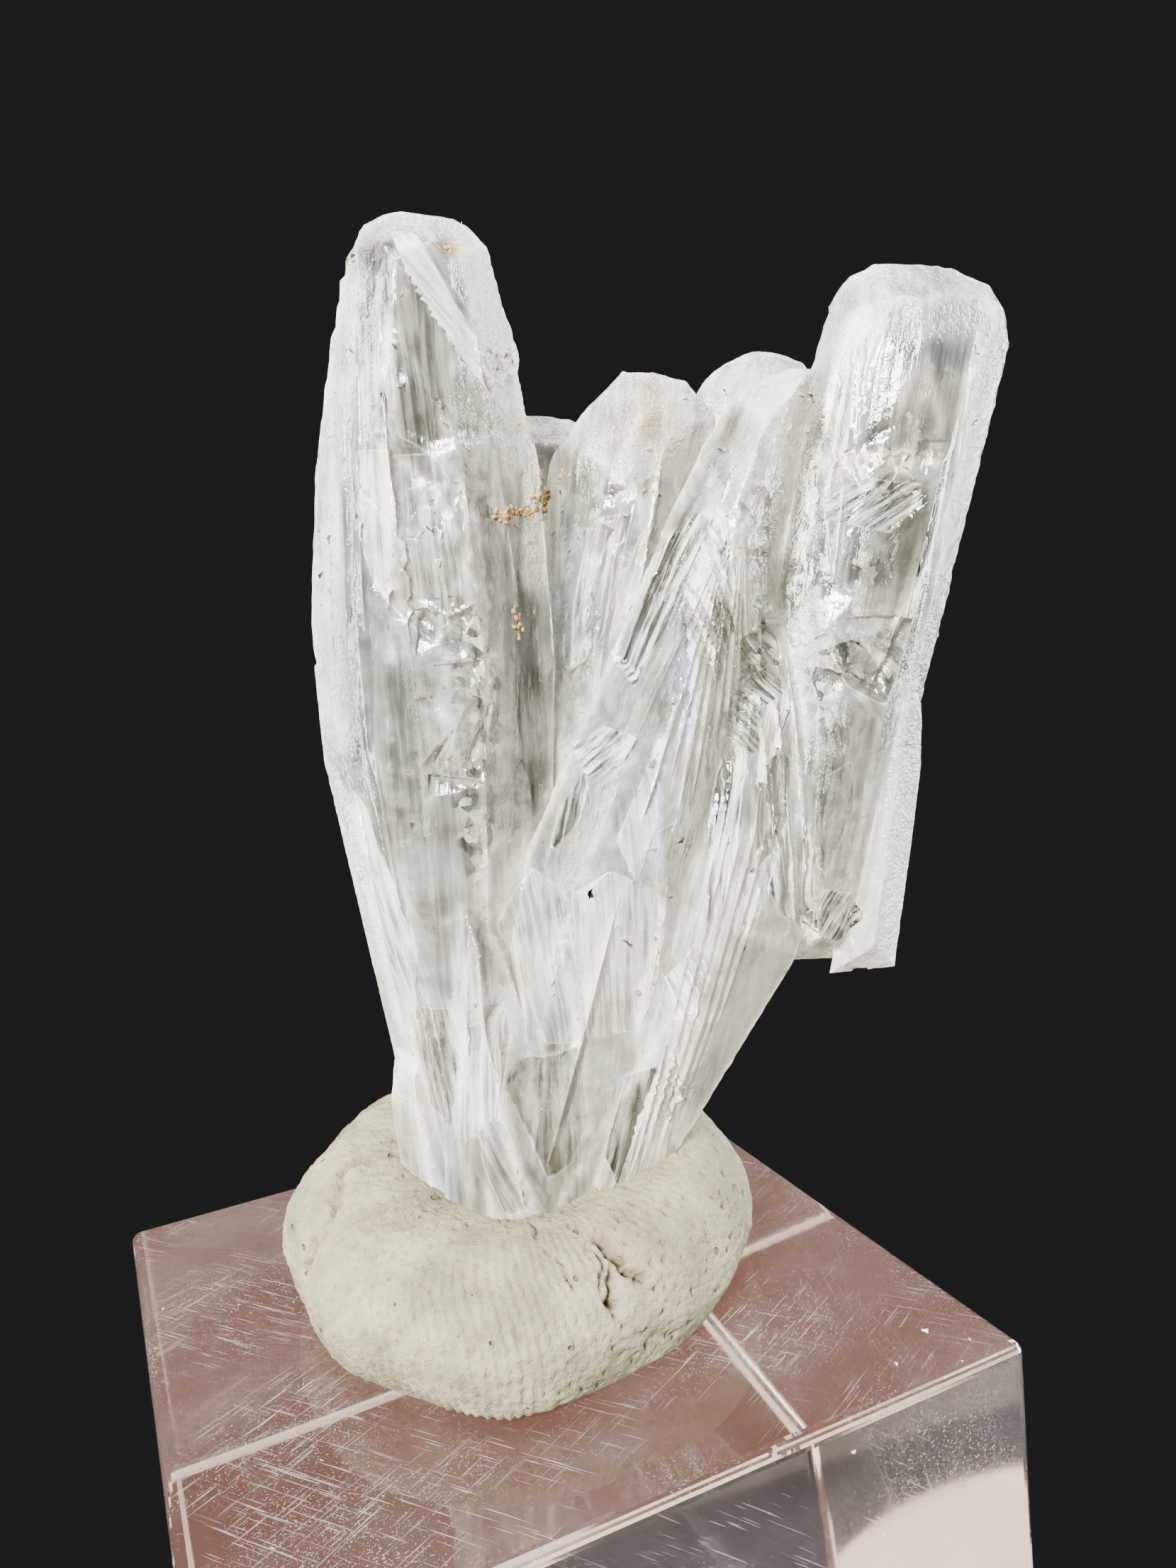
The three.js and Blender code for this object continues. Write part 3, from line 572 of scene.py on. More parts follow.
def lies_inside(flat, ring):
    """Which points lie inside a closed ring of corners: an odd number of its sides pass
    to their right."""
    inside = np.zeros(len(flat), bool)
    for (u0, z0), (u1, z1) in zip(ring, ring[1:]):
        if z0 == z1:
            continue
        crosses = (z0 > flat[:, 1]) != (z1 > flat[:, 1])
        side = u0 + (flat[:, 1] - z0) * (u1 - u0) / (z1 - z0)
        inside ^= crosses & (flat[:, 0] < side)
    return inside


def nearest_facet(flat):
    """How far inside its nearest facet each point lies, below 0 outside, and which."""
    depth_inside = np.full(len(flat), -np.inf)
    number = np.zeros(len(flat), int)
    for i, (_, _, _, *corners) in enumerate(FACETS):
        ring = corners + corners[:1]
        gap = distance_to_line(flat, ring)
        gap = np.where(lies_inside(flat, ring), gap, -gap)
        nearer = gap > depth_inside
        depth_inside[nearer] = gap[nearer]
        number[nearer] = i
    return depth_inside, number


# %% [markdown]
# The crystals start as a copy of the CAD solid, whose faces are large and flat. Its flat
# areas are merged first and then split evenly, because fine relief needs vertices to
# carry it. Between a coarse and a fine split the frosted tips and rims are worn round, as
# they are on the real one. The front, which is seen closest, gets the finer mesh.

# %% A fine mesh for the crystals
FRONT_EDGE = 0.40 * MM
BACK_EDGE = 0.68 * MM
DETAIL_EDGE = 0.26 * MM
# Middle (u, z) and half sizes of the places with the finest relief, in millimetres
DETAILED = [
    (4.2, 72.0, 1.4, 5.6), (11.2, 61.4, 2.2, 3.8), (1.6, 58.0, 1.3, 5.6), (15.6, 60.0, 1.4, 4.4),
]
FLAT_ANGLE = math.radians(0.5)
SPLIT_ROUNDS = 7
# The first split is this much coarser than the last
COARSER = 1.3
WEAR_ROUNDS = 10
WEAR_EVERYWHERE = 0.06
# Ends of the blades that are worn round
WORN = [
    (9.4, 71.6, 3.2, 2.4, 12, 0.9), (20.6, 75.0, 4.0, 2.0, 10, 0.7),
    (24.4, 72.0, 1.2, 1.6, 0, 0.6), (15.0, 72.4, 3.4, 1.8, 0, 0.9),
    (5.8, 70.6, 3.6, 1.4, 0, 0.9), (0.6, 77.8, 3.4, 1.3, 0, 0.8),
    (-2.6, 75.4, 1.0, 1.4, 0, 0.6), (4.0, 75.2, 0.8, 2.0, 0, 0.6),
]

crystals = copy_of("calcite_cluster", "calcite_crystals")
cutter = copy_of("calcite_cluster", "socket_cutter")


def edge_limit(edge, front):
    """The longest that an edge may stay, by where it is on the crystals."""
    if max(face.normal.dot(front) for face in edge.link_faces) < 0.1:
        return BACK_EDGE
    u, _, z = (edge.verts[0].co + edge.verts[1].co) @ FAN_MATRIX / (2 * MM)
    for middle_u, middle_z, wide, tall in DETAILED:
        if abs(u - middle_u) < wide and abs(z - middle_z) < tall:
            return DETAIL_EDGE
    return FRONT_EDGE


def even_out(mesh):
    """Flips the edges between faces that lie flat, so that no triangle stays thin."""
    flat = [
        edge for edge in mesh.edges
        if len(edge.link_faces) == 2 and edge.calc_face_angle() < FLAT_ANGLE
    ]
    bmesh.ops.beautify_fill(mesh, faces=mesh.faces, edges=flat)


def split_long(piece, coarseness):
    """Splits the edges that are longer than their limit times the coarseness."""
    mesh = bmesh.new()
    mesh.from_mesh(piece.data)
    front = Vector(FAN @ (0, -1, 0))
    for _ in range(SPLIT_ROUNDS):
        even_out(mesh)
        long_edges = [
            edge for edge in mesh.edges
            if edge.calc_length() > coarseness * edge_limit(edge, front)
        ]
        bmesh.ops.subdivide_edges(mesh, edges=long_edges, cuts=1)
        bmesh.ops.triangulate(mesh, faces=[face for face in mesh.faces if len(face.verts) > 3])
    mesh.to_mesh(piece.data)
    mesh.free()


def merge_flats(piece):
    mesh = bmesh.new()
    mesh.from_mesh(piece.data)
    bmesh.ops.dissolve_limit(
        mesh, angle_limit=FLAT_ANGLE, verts=mesh.verts, edges=mesh.edges,
    )
    bmesh.ops.triangulate(mesh, faces=mesh.faces, quad_method="BEAUTY", ngon_method="BEAUTY")
    mesh.to_mesh(piece.data)
    mesh.free()


def frost_on(piece):
    """How frosted each vertex is. The back has the front's marks, moved a little."""
    points = fan_points(piece)
    faces_back = fan_normals(piece)[:, 1] > BACK_FACING
    marked = np.where(faces_back[:, None], points + BACK_SHIFT, points)
    frost = np.maximum(spots(marked, FROST_SPOTS), strokes(marked[:, [0, 2]], FROST_LINES))
    return frost, marked


def wear_round(piece):
    """Smooths the piece, most at the ends of its blades."""
    group = piece.vertex_groups.new(name="worn")
    weights = np.clip(WEAR_EVERYWHERE + spots(fan_points(piece), WORN), 0, 1)
    for i, weight in enumerate(weights.tolist()):
        group.add([i], weight, "REPLACE")
    modify(piece, "SMOOTH", factor=0.5, iterations=WEAR_ROUNDS, vertex_group=group.name)
    piece.vertex_groups.clear()


merge_flats(crystals)
split_long(crystals, COARSER)
wear_round(crystals)
split_long(crystals, 1.0)
print("crystal triangles:", len(crystals.data.polygons))

# %% [markdown]
# Growth lines run along each blade. Each line below is the middle of a run of them, from
# foot to tip. A point belongs to the nearest run, and its distances along and across it
# become coordinates for the streaks. On a facet the streaks follow the facet instead.

# %% Growth lines
GRAIN_LINES = [
    ((-3.6, 46.0), (-5.0, 57.5)),
    ((-4.0, 60.0), (-2.8, 74.0)),
    ((-1.4, 36.0), (0.3, 76.0)),
    ((2.6, 45.0), (4.2, 75.0)),
    ((2.4, 40.0), (6.6, 66.0)),
    ((6.3, 54.0), (10.2, 71.5)),
    ((4.6, 50.0), (14.0, 69.5)),
    ((13.6, 55.0), (11.8, 66.0)),
    ((8.0, 40.0), (12.4, 55.0)),
    ((14.6, 47.0), (14.9, 57.0)),
    ((16.2, 58.0), (19.6, 73.0)),
    ((19.2, 58.0), (23.6, 72.5)),
    ((17.3, 46.0), (20.0, 57.0)),
    ((5.5, 36.0), (9.5, 45.0)),
    ((2.4, 35.0), (3.4, 47.0)),
    ((6.0, 45.0), (9.0, 58.0)),
]
# How far outside a facet its own streaks still run, and how far apart runs are kept
FACET_MARGIN = 0.45
RUN_APART = 9.7


def straight_runs():
    """The foot and direction of each run: those of the blades, then those of the facets."""
    runs = []
    for foot, tip in GRAIN_LINES:
        way = np.array(tip) - np.array(foot)
        runs.append((foot, way / np.linalg.norm(way)))
    for _, lean, _, *corners in FACETS:
        runs.append((corners[0], (math.sin(math.radians(lean)), math.cos(math.radians(lean)))))
    return runs


def nearest_run(flat):
    return np.array([distance_to_line(flat, line) for line in GRAIN_LINES]).argmin(0)


def grain_coordinates(points, run_of_each):
    """Millimetres across and along the run that each point belongs to, and the depth."""
    grain = np.empty((len(points), 3))
    grain[:, 2] = points[:, 1]
    for i, (foot, way) in enumerate(straight_runs()):
        here = run_of_each == i
        from_foot = points[here][:, [0, 2]] - foot
        grain[here, 0] = from_foot @ (way[1], -way[0]) + RUN_APART * i
        grain[here, 1] = from_foot @ way
    return grain


frost, marked = frost_on(crystals)
points = fan_points(crystals)
normals = fan_normals(crystals)
flat_marked = marked[:, [0, 2]]
inside, number = nearest_facet(points[:, [0, 2]])
inside = np.where(normals[:, 1] < 0.1, inside, -1.0)
grain = grain_coordinates(points, nearest_run(points[:, [0, 2]]))

# %% [markdown]
# All three corners of a triangle must read the same run, or the streaks would smear
# across it. So the choice is made once for each triangle.

# %% Runs of the triangles
corner_vertices = np.empty(len(crystals.data.loops), int)
crystals.data.loops.foreach_get("vertex_index", corner_vertices)
corner_points = points[corner_vertices]
middles = corner_points.reshape(-1, 3, 3).mean(1)
corner_inside = inside[corner_vertices].reshape(-1, 3)
deepest = corner_inside.argmax(1)
middle_number = number[corner_vertices].reshape(-1, 3)[np.arange(len(middles)), deepest]
on_facet = corner_inside.max(1) > -FACET_MARGIN
runs = np.where(on_facet, len(GRAIN_LINES) + middle_number, nearest_run(middles[:, [0, 2]]))
corner_grain = grain_coordinates(corner_points, np.repeat(runs, 3))
kinds = np.array([facet[:3] for facet in FACETS])[np.repeat(middle_number, 3)]
corner_facet = np.stack([kinds[:, 0], kinds[:, 2], 0 * kinds[:, 0]], 1)

# %% [markdown]
# Edges between the flat faces are painted as pale, slightly chipped lines: partly real rubbing
# and chipping, partly a painted highlight where they catch the light. So each vertex also learns
# how far it is from the nearest sharp edge.

# %% Rubbed edges, with a painted highlight
SHARP_ANGLE = math.radians(14)
RUB_AND_SHEEN_WIDTH = 0.22


def distance_from_edges(piece):
    mesh = bmesh.new()
    mesh.from_mesh(piece.data)
    middles = [
        (edge.verts[0].co + edge.verts[1].co) / 2 for edge in mesh.edges
        if len(edge.link_faces) == 2 and edge.calc_face_angle() > SHARP_ANGLE
    ]
    tree = KDTree(len(middles))
    for i, middle in enumerate(middles):
        tree.insert(middle, i)
    tree.balance()
    gaps = np.array([tree.find(vertex.co)[2] for vertex in mesh.verts]) / MM
    mesh.free()
    return gaps


edge_gap = distance_from_edges(crystals)
rubbed_and_lit = np.exp(-((edge_gap / RUB_AND_SHEEN_WIDTH) ** 2))
edge_wear_and_sheen = rubbed_and_lit * (0.5 + 0.5 * noise_at(points, (1.3, 1.3, 0.5)))

# %% [markdown]
# Relief, all of it cut into the solid so that the piece stays the size of the CAD: growth
# lines, facets that lie a little lower than the skin around them, chips in the crumpled
# places, cracks, and a sugary grain under the frost.

# %% Relief of the crystals
LINE_DEPTH = 0.08
FACET_DEPTH = 0.12
FACET_TILT = 0.2
CHIP_DEPTH = 0.2
CRACK_DEPTH = 0.14
SUGAR_DEPTH = 0.07
# Size of a chip, and how far from a sharp edge the relief is held back
CHIP_SIZE = 0.7
EDGE_KEPT = 0.12
# Turns per millimetre of the lines: across them, along them and into the crystal
COARSE_LINES = (0.8, 0.05, 0.3)
FINE_LINES = (1.8, 0.10, 0.5)
# Growth steps in one turn of the coarse lines
STEPS = 2.5
# A facet starts this far outside its corners and falls to its depth over this distance
FACET_START = 0.1
FACET_FALL = 0.25
# The feet of the blades are smoother and more milky than the rest, over this height
CALM_BELOW = 56
CALM_FADE = 8
# The back is clearer than the front and less crumpled, so that the windows have depth
BACK_MILK = 0.4
BACK_CRUMPLED = 0.2
# Milkiness everywhere, and what each kind of mark adds to it
MILK_BASE = 0.19
MILK_FROST = 0.42
MILK_CALM = 0.18
MILK_WINDOW = -0.14
MILK_CRUMPLED = -0.05
MILK_CRACK = -0.2
MILK_UNEVEN = 0.18


def chips(points, size):
    """Flat chips: each cell of a Voronoi pattern is tilted its own way."""
    tilt = np.empty(len(points))
    for i, place in enumerate((points / size).tolist()):
        centre = noise.voronoi(place)[1][0]
        lean = noise.cell_vector(centre * 7.31)
        tilt[i] = (Vector(place) - centre).dot(lean - Vector((0.5, 0.5, 0.5)))
    return tilt


window = spots(marked, WINDOWS)
crumpled = spots(marked, CRUMPLED)
crumpled = np.clip(crumpled * (1 + 0.8 * noise_at(points, 1.1, 8.0)), 0, 1)
crumpled *= np.where(normals[:, 1] > BACK_FACING, BACK_CRUMPLED, 1)
seam = strokes(flat_marked, SEAMS) * (0.6 + 0.5 * noise_at(points, 2.2, 3.0))
crack = strokes(flat_marked, CRACKS)
in_facet = smooth_step((inside + FACET_START) / FACET_FALL)
calm = smooth_step((CALM_BELOW - points[:, 2]) / CALM_FADE)

coarse = noise_at(grain, COARSE_LINES)
fine = noise_at(grain, FINE_LINES, 11.0)
step = (coarse * STEPS) % 1.0
depth = LINE_DEPTH * (0.35 * (1 + coarse) + 0.35 * step + 0.3 * (1 + fine))
depth *= (1 - 0.6 * window) * (1 - 0.5 * in_facet) * (1 - 0.4 * calm)
facet_middles = np.array([np.mean(corners, axis=0) for _, _, _, *corners in FACETS])
tilts = FACET_TILT * np.array([(rng.uniform(-1, 1), rng.uniform(-0.3, 0.3)) for _ in FACETS])
from_middle = points[:, [0, 2]] - facet_middles[number]
depth += in_facet * (FACET_DEPTH + (from_middle * tilts[number]).sum(1))
depth += CHIP_DEPTH * crumpled * (0.45 + chips(points, CHIP_SIZE))
depth += CRACK_DEPTH * np.maximum(crack, 0.5 * seam)
depth += SUGAR_DEPTH * frost * (1 + noise_at(points, 2.4, 5.0))
depth *= 1 - 0.7 * np.exp(-((edge_gap / EDGE_KEPT) ** 2))
depth = np.maximum(depth, 0)
place_fan_points(crystals, points - normals * depth[:, None])

milk = MILK_BASE + MILK_FROST * frost + MILK_CALM * calm + MILK_WINDOW * window
milk = milk + MILK_CRUMPLED * crumpled + MILK_CRACK * crack
milk += MILK_UNEVEN * noise_at(grain, (0.5, 0.05, 0.2), 21.0)
milk *= np.where(normals[:, 1] > BACK_FACING, BACK_MILK, 1)
keep_values(crystals, "grain", corner_grain, "CORNER")
keep_values(crystals, "facet", corner_facet, "CORNER")
keep_values(crystals, "inside", inside)
keep_values(crystals, "milk", np.clip(milk, 0, 1))
# The seam values also hold the pale edges: partly chipping, partly a painted highlight
keep_values(crystals, "seam", np.clip(0.6 * seam + 0.4 * edge_wear_and_sheen, 0, 1))
keep_values(crystals, "broken", crumpled)
keep_values(crystals, "tints", np.stack([
    spots(points, TAN_STAINS), spots(points, BLUE_STAINS), np.clip(0.2 + 1.5 * frost, 0, 1.6),
], 1))
paint_smooth(crystals, make_calcite(), 24)
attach(crystals, "root")
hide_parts("calcite_cluster")
print("relief up to", round(float(depth.max()), 2), "mm")

# %% [markdown]
# Cracks inside a crystal are thin gaps of air. They show as silvery leaves when they
# mirror a light. Each one here is a thin bent leaf with its own thickness, hung in the
# blade along its growth lines.

# %% Fractures inside the blades
LEAF_THICKNESS = 0.05
# In degrees, and in millimetres
LEAF_TWIST = 35
LEAF_BOW = 0.5
LEAF_RAGGED = 0.25
# Turns per metre: the silvery blots are 0.7 mm wide
VEIL_TURNS = 1400
# Between that of the crystal and that of air, because the gaps have partly healed
VEIL_IOR = 1.35
# Place in the fan, half width and half height in millimetres, and lean in degrees
LEAVES = [
    (0.6, -1.6, 62.0, 1.6, 6.0, 4), (1.6, -0.6, 54.0, 1.4, 5.0, 2),
    (-1.6, -1.0, 66.0, 1.2, 5.5, -2), (2.4, -2.4, 70.0, 1.0, 3.4, 6),
    (-2.4, -0.6, 52.0, 1.2, 5.0, -6), (1.4, -2.2, 46.0, 1.3, 4.5, 4),
    (7.2, 0.2, 64.0, 1.1, 4.0, 14), (5.6, 0.0, 56.0, 1.0, 5.0, 12),
    (8.8, -2.6, 58.0, 0.9, 4.0, 22), (12.4, -3.2, 65.0, 1.0, 3.0, 20),
    (10.4, -2.0, 53.0, 1.2, 4.0, 14), (12.6, -1.6, 56.6, 0.9, 2.6, 6),
    (14.0, -1.0, 51.5, 0.9, 3.6, 4), (7.4, -1.8, 48.0, 1.2, 4.0, 16),
    (4.4, -2.0, 43.0, 1.2, 4.0, 12), (18.2, -0.4, 58.6, 0.8, 1.6, -20),
    (16.2, -0.8, 50.6, 0.8, 3.4, 3), (18.0, -0.8, 52.0, 0.8, 3.6, 8),
    (-1.2, -2.0, 41.5, 1.0, 3.6, 0), (14.6, 4.0, 66.0, 1.2, 4.0, 14),
    (5.4, 4.0, 60.0, 1.2, 5.0, 6), (10.6, 2.6, 54.0, 1.2, 5.0, 18),
]
LEAF_ROWS = 10
LEAF_COLUMNS = 5


def leaf_sheet(u, v, z, half_width, half_height, lean):
    """Rows of points of one leaf, widest in its middle and bent a little."""
    tip = math.radians(lean)
    twist = math.radians(rng.uniform(-LEAF_TWIST, LEAF_TWIST))
    bow = rng.uniform(-LEAF_BOW, LEAF_BOW)
    rows = []
    for i in range(LEAF_ROWS + 1):
        t = 2 * i / LEAF_ROWS - 1
        width = half_width * math.sqrt(max(1 - t * t, 0.004))
        row = []
        for j in range(LEAF_COLUMNS + 1):
            s = (2 * j / LEAF_COLUMNS - 1) * width
            ragged = LEAF_RAGGED * noise.noise((u + 3 * s, z + 5 * t, 2.0))
            across = s * math.cos(twist) + ragged
            depth = s * math.sin(twist) + bow * (t * t - 0.3) + ragged
            height = t * half_height
            row.append((
                u + across * math.cos(tip) + height * math.sin(tip),
                v + depth,
                z - across * math.sin(tip) + height * math.cos(tip),
            ))
        rows.append(row)
    return rows


def make_fractures():
    vertices, faces = [], []
    width = LEAF_COLUMNS + 1
    for leaf in LEAVES:
        start = len(vertices)
        rows = leaf_sheet(*leaf)
        vertices += [to_row(point) for row in rows for point in row]
        for i in range(LEAF_ROWS):
            for j in range(LEAF_COLUMNS):
                a = start + i * width + j
                faces.append((a, a + 1, a + width + 1, a + width))
    leaves = piece_from("inner_fractures", vertices, faces)
    modify(leaves, "SOLIDIFY", thickness=LEAF_THICKNESS * MM, offset=0)
    return leaves


def make_fracture_veil():
    material, tree = new_material("fracture_veil")
    place = node(tree, "ShaderNodeTexCoord").outputs["Object"]
    cells = node(tree, "ShaderNodeTexNoise", {
        "Vector": place, "Scale": VEIL_TURNS, "Detail": 4, "Roughness": 0.65,
    }).outputs["Fac"]
    clearness = node(tree, "ShaderNodeMapRange", {
        "Value": cells, "From Min": 0.4, "From Max": 0.62, "To Min": 0.97, "To Max": 0.45,
    }).outputs["Result"]
    bump = node(tree, "ShaderNodeBump", {
        "Height": cells, "Strength": 0.6, "Distance": 0.1 * MM,
    }).outputs["Normal"]
    shade(tree, {
        "Base Color": linear("#fbfbf8"), "Transmission Weight": clearness, "Roughness": 0.18,
        "Normal": bump, "IOR": VEIL_IOR,
    })
    return material


fractures = make_fractures()
paint_smooth(fractures, make_fracture_veil(), 40)
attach(fractures, "root")
print("leaves:", len(LEAVES))

# %% [markdown]
# The putty was rolled into a lump, pressed on the cube and thumbed up round the crystals.
# It is built as rows of points round the lump, close enough together to carry the ridges
# of a fingerprint, which are about half a millimetre apart. Sizes are those of the CAD.

# %% The putty's lump
PUTTY_CENTRE = (0.6, 0.2)
PUTTY_RADII = [10.8, 10.6, 9.8, 9.4, 9.8, 10.9, 10.9, 10.2, 10.0, 10.8, 10.2, 10.3]
PUTTY_RIMS = [7.9, 8.1, 8.0, 8.0, 8.2, 8.0, 7.4, 6.6, 6.0, 5.6, 5.4, 6.4]
PUTTY_SIDE = [
    (0.9, 0), (0.955, 0.1), (0.99, 0.24), (1, 0.4), (0.975, 0.56), (0.92, 0.72),
    (0.83, 0.86), (0.72, 0.95), (0.6, 1.0), (0.46, 0.98), (0.3, 0.92), (0.12, 0.86),
]
PUTTY_COLUMNS = 600
PUTTY_ROWS = 110
BLOCK_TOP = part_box("acrylic_block")[1].z / MM
PUTTY_SUNK = 0.04
# Waves pressed in by hand: height, how many go round, and how they lean with height
DENTS = [(0.22, 3, 4), (0.16, 7, -3)]
# Columns on each side of one over which the lump's outline is evened, and rounds of
# corner cutting for its side
ROUND_SPAN = 15
CUT_ROUNDS = 3


def round_ring(ring, turns):
    """The values of a closed ring at any share of a turn, rounded between them."""
    place = turns * len(ring)
    before = np.floor(place).astype(int)
    share = smooth_step(place - before)
    ring = np.array(ring)
    values = ring[before % len(ring)] * (1 - share) + ring[(before + 1) % len(ring)] * share
    kernel = np.hanning(2 * ROUND_SPAN + 1)
    padded = np.concatenate([values[-ROUND_SPAN:], values, values[:ROUND_SPAN]])
    return np.convolve(padded, kernel / kernel.sum(), "valid")


def round_profile(profile, rows):
    """The lump's side as evenly spaced points on a smooth line."""
    line = np.array(profile, float)
    for _ in range(CUT_ROUNDS):
        cut = np.empty((2 * len(line) - 2, 2))
        cut[0::2] = 0.75 * line[:-1] + 0.25 * line[1:]
        cut[1::2] = 0.25 * line[:-1] + 0.75 * line[1:]
        line = np.vstack([line[:1], cut, line[-1:]])
    run = np.concatenate([[0], np.cumsum(np.linalg.norm(np.diff(line, axis=0), axis=1))])
    even = np.linspace(0, run[-1], rows)
    return np.stack([np.interp(even, run, line[:, 0]), np.interp(even, run, line[:, 1])], 1)


turns = np.arange(PUTTY_COLUMNS) / PUTTY_COLUMNS
angles = 2 * math.pi * turns
radii = round_ring(PUTTY_RADII, turns)
rims = round_ring(PUTTY_RIMS, turns)
profile = round_profile(PUTTY_SIDE, PUTTY_ROWS)
out, up = profile[:, 0][None, :], profile[:, 1][None, :]
turn_grid = angles[:, None]
dents = sum(size * np.sin(waves * turn_grid + lean * up) for size, waves, lean in DENTS)
dents = dents * np.clip(up / 0.1, 0, 1) * np.clip((out - 0.1) / 0.3, 0, 1)
reach = out * radii[:, None] + dents
lump = np.stack([
    PUTTY_CENTRE[0] + reach * np.cos(turn_grid),
    PUTTY_CENTRE[1] + reach * np.sin(turn_grid),
    BLOCK_TOP - PUTTY_SUNK + up * rims[:, None],
], 2).reshape(-1, 3)

faces = []
for i in range(PUTTY_COLUMNS):
    here, after = i * PUTTY_ROWS, (i + 1) % PUTTY_COLUMNS * PUTTY_ROWS
    faces += [
        (here + j, after + j, after + j + 1, here + j + 1) for j in range(PUTTY_ROWS - 1)
    ]
faces.append([i * PUTTY_ROWS for i in reversed(range(PUTTY_COLUMNS))])
faces.append([(i + 1) * PUTTY_ROWS - 1 for i in range(PUTTY_COLUMNS)])
putty = piece_from("putty_lump", [to_row(point) for point in lump], faces)
putty.data.update()

# %% [markdown]
# Marks of the putty: fingerprint ridges on its front, a ragged tear at its front right, a
# fold at its left, small pits where air was kneaded in, and a dark speck here and there.

# %% Relief of the putty
RIDGE_SPACING = 0.48
RIDGE_HEIGHT = 0.052
# The ridges are upright round a middle of this radius and height, and bend away from it
RIDGE_RADIUS = 10.4
RIDGE_MIDDLE = 35
RIDGE_LEAN = 0.25
RIDGE_BEND = 0.05
PRINTS = [
    (-4.6, 34.6, 3.6, 2.6, 0, 1.0), (-1.0, 34.2, 3.4, 2.8, 0, 1.0), (2.4, 35.4, 2.4, 2.2, 0, 0.8),
    (7.6, 36.6, 2.0, 1.8, 0, 0.5),
]
TEARS = [
    (0.26, 1.0, (4.4, -6.2, 37.0), (4.8, -6.9, 36.6), (5.4, -7.3, 36.1), (6.0, -7.6, 35.6)),
    (0.22, 1.0, (4.9, -7.6, 36.2), (4.8, -8.4, 35.4), (5.2, -8.8, 34.6), (5.5, -8.8, 34.0)),
    (0.24, 0.9, (5.5, -8.8, 34.1), (6.3, -8.2, 33.4), (7.1, -7.3, 32.8)),
    (0.12, 0.8, (4.0, -6.6, 37.0), (4.5, -7.4, 36.4), (4.3, -8.2, 35.9)),
    (0.12, 0.8, (5.6, -7.5, 35.9), (5.9, -7.9, 35.3), (6.6, -7.4, 35.0)),
    (0.10, 0.5, (1.6, -5.2, 37.2), (2.2, -6.9, 37.1), (3.2, -8.0, 36.6), (3.5, -9.0, 35.2)),
    (0.2, 0.8, (-5.9, -0.9, 38.9), (-6.8, -1.6, 38.6), (-6.9, -3.1, 37.9), (-7.5, -4.1, 37.0)),
    (0.22, 0.9, (-7.3, -3.9, 37.3), (-8.0, -4.2, 36.4), (-8.2, -4.1, 35.4)),
    (0.13, 0.5, (-3.6, -4.6, 38.3), (-5.0, -4.4, 38.2), (-6.4, -3.8, 37.9)),
    (0.13, 0.5, (-2.6, -8.6, 36.6), (-3.4, -8.2, 36.9), (-4.4, -7.8, 36.8)),
]
SPECKS = [
    (-4.7, 0.2, 39.0), (1.1, -10.0, 35.2), (1.1, -9.9, 35.7), (-0.5, -9.8, 35.3),
    (-1.3, -8.8, 36.4), (6.6, -6.0, 36.8), (7.4, -4.8, 37.3), (-7.9, -3.0, 36.9),
]
TEAR_DEPTH = 0.5
RAGGED = 0.26
PIT_DEPTH = 0.16
SPECK_SIZE = 0.16
SPECK_DEPTH = 0.12
# Heights of two sizes of unevenness from kneading
GRAINY = 0.07
LUMPY = 0.09

points = fan_points(putty)
normals = fan_normals(putty)
around = np.arctan2(points[:, 1] - PUTTY_CENTRE[1], points[:, 0] - PUTTY_CENTRE[0])
wander = noise_at(points, 0.22) * 1.5 + noise_at(points, 0.8) * 0.25
over = points[:, 2] - RIDGE_MIDDLE
phase = (around * RIDGE_RADIUS + RIDGE_LEAN * over + RIDGE_BEND * over ** 2) / RIDGE_SPACING
ridges = np.sin(2 * math.pi * (phase + wander))
front = smooth_step(-normals[:, 1] * 2 + 0.4)
prints = spots(points, PRINTS) * front
wobble = np.stack([noise_at(points, 1.7, seed) for seed in (4.0, 14.0, 24.0)], 1)
ragged = 1 + 0.9 * noise_at(points, 3.4, 4.0)
tears = np.clip(strokes(points + RAGGED * wobble, TEARS) * ragged, 0, 1.3)
pores = smooth_step((noise_at(points, (3.8, 3.8, 2.6), 9.0) - 0.40) / 0.16)
specks = np.zeros(len(points))
for speck in SPECKS:
    gap = np.linalg.norm(points - speck, axis=1)
    specks = np.maximum(specks, np.exp(-((gap / SPECK_SIZE) ** 2)))
rough = GRAINY * noise_at(points, 3.4, 2.0) + LUMPY * noise_at(points, 0.9, 6.0)
height = rough + RIDGE_HEIGHT * prints * ridges - TEAR_DEPTH * tears
height -= PIT_DEPTH * pores * (1 - 0.6 * prints) + SPECK_DEPTH * specks
flat_bottom = smooth_step((points[:, 2] - BLOCK_TOP) / 0.3)
place_fan_points(putty, points + normals * (height * flat_bottom)[:, None])
# Tears, pits and specks are coloured darker and browner
keep_values(putty, "darkening", np.clip(tears * 0.9 + pores * 0.35 + specks * 1.2, 0, 1))

# %% [markdown]
# The crystals were pressed into the lump, so it holds their print: a boolean cuts it out
# with a copy of the crystals that is a hair smaller, which leaves no gap.

# %% The crystals' socket in the putty
SOCKET_OVERLAP = 0.08

modify(cutter, "DISPLACE", strength=-SOCKET_OVERLAP * MM, mid_level=0)
modify(putty, "BOOLEAN", operation="DIFFERENCE", object=cutter, solver="EXACT")
bpy.data.objects.remove(cutter)
print("putty faces:", len(putty.data.polygons))

# %% [markdown]
# Mounting putty is a soft, chalk-filled rubber: matt and off-white with a green cast. It is
# coloured darker and browner in its tears, pits, holes and specks. Its roughness is uneven, from
# handling.

# %% Putty's finish
# Turns per metre: mottling 2.6 mm wide, flecks 0.26 mm, and cells of 0.9 mm that hold a hole
MOTTLE_TURNS = 380
FLECK_TURNS = 3800
HOLE_TURNS = 1100


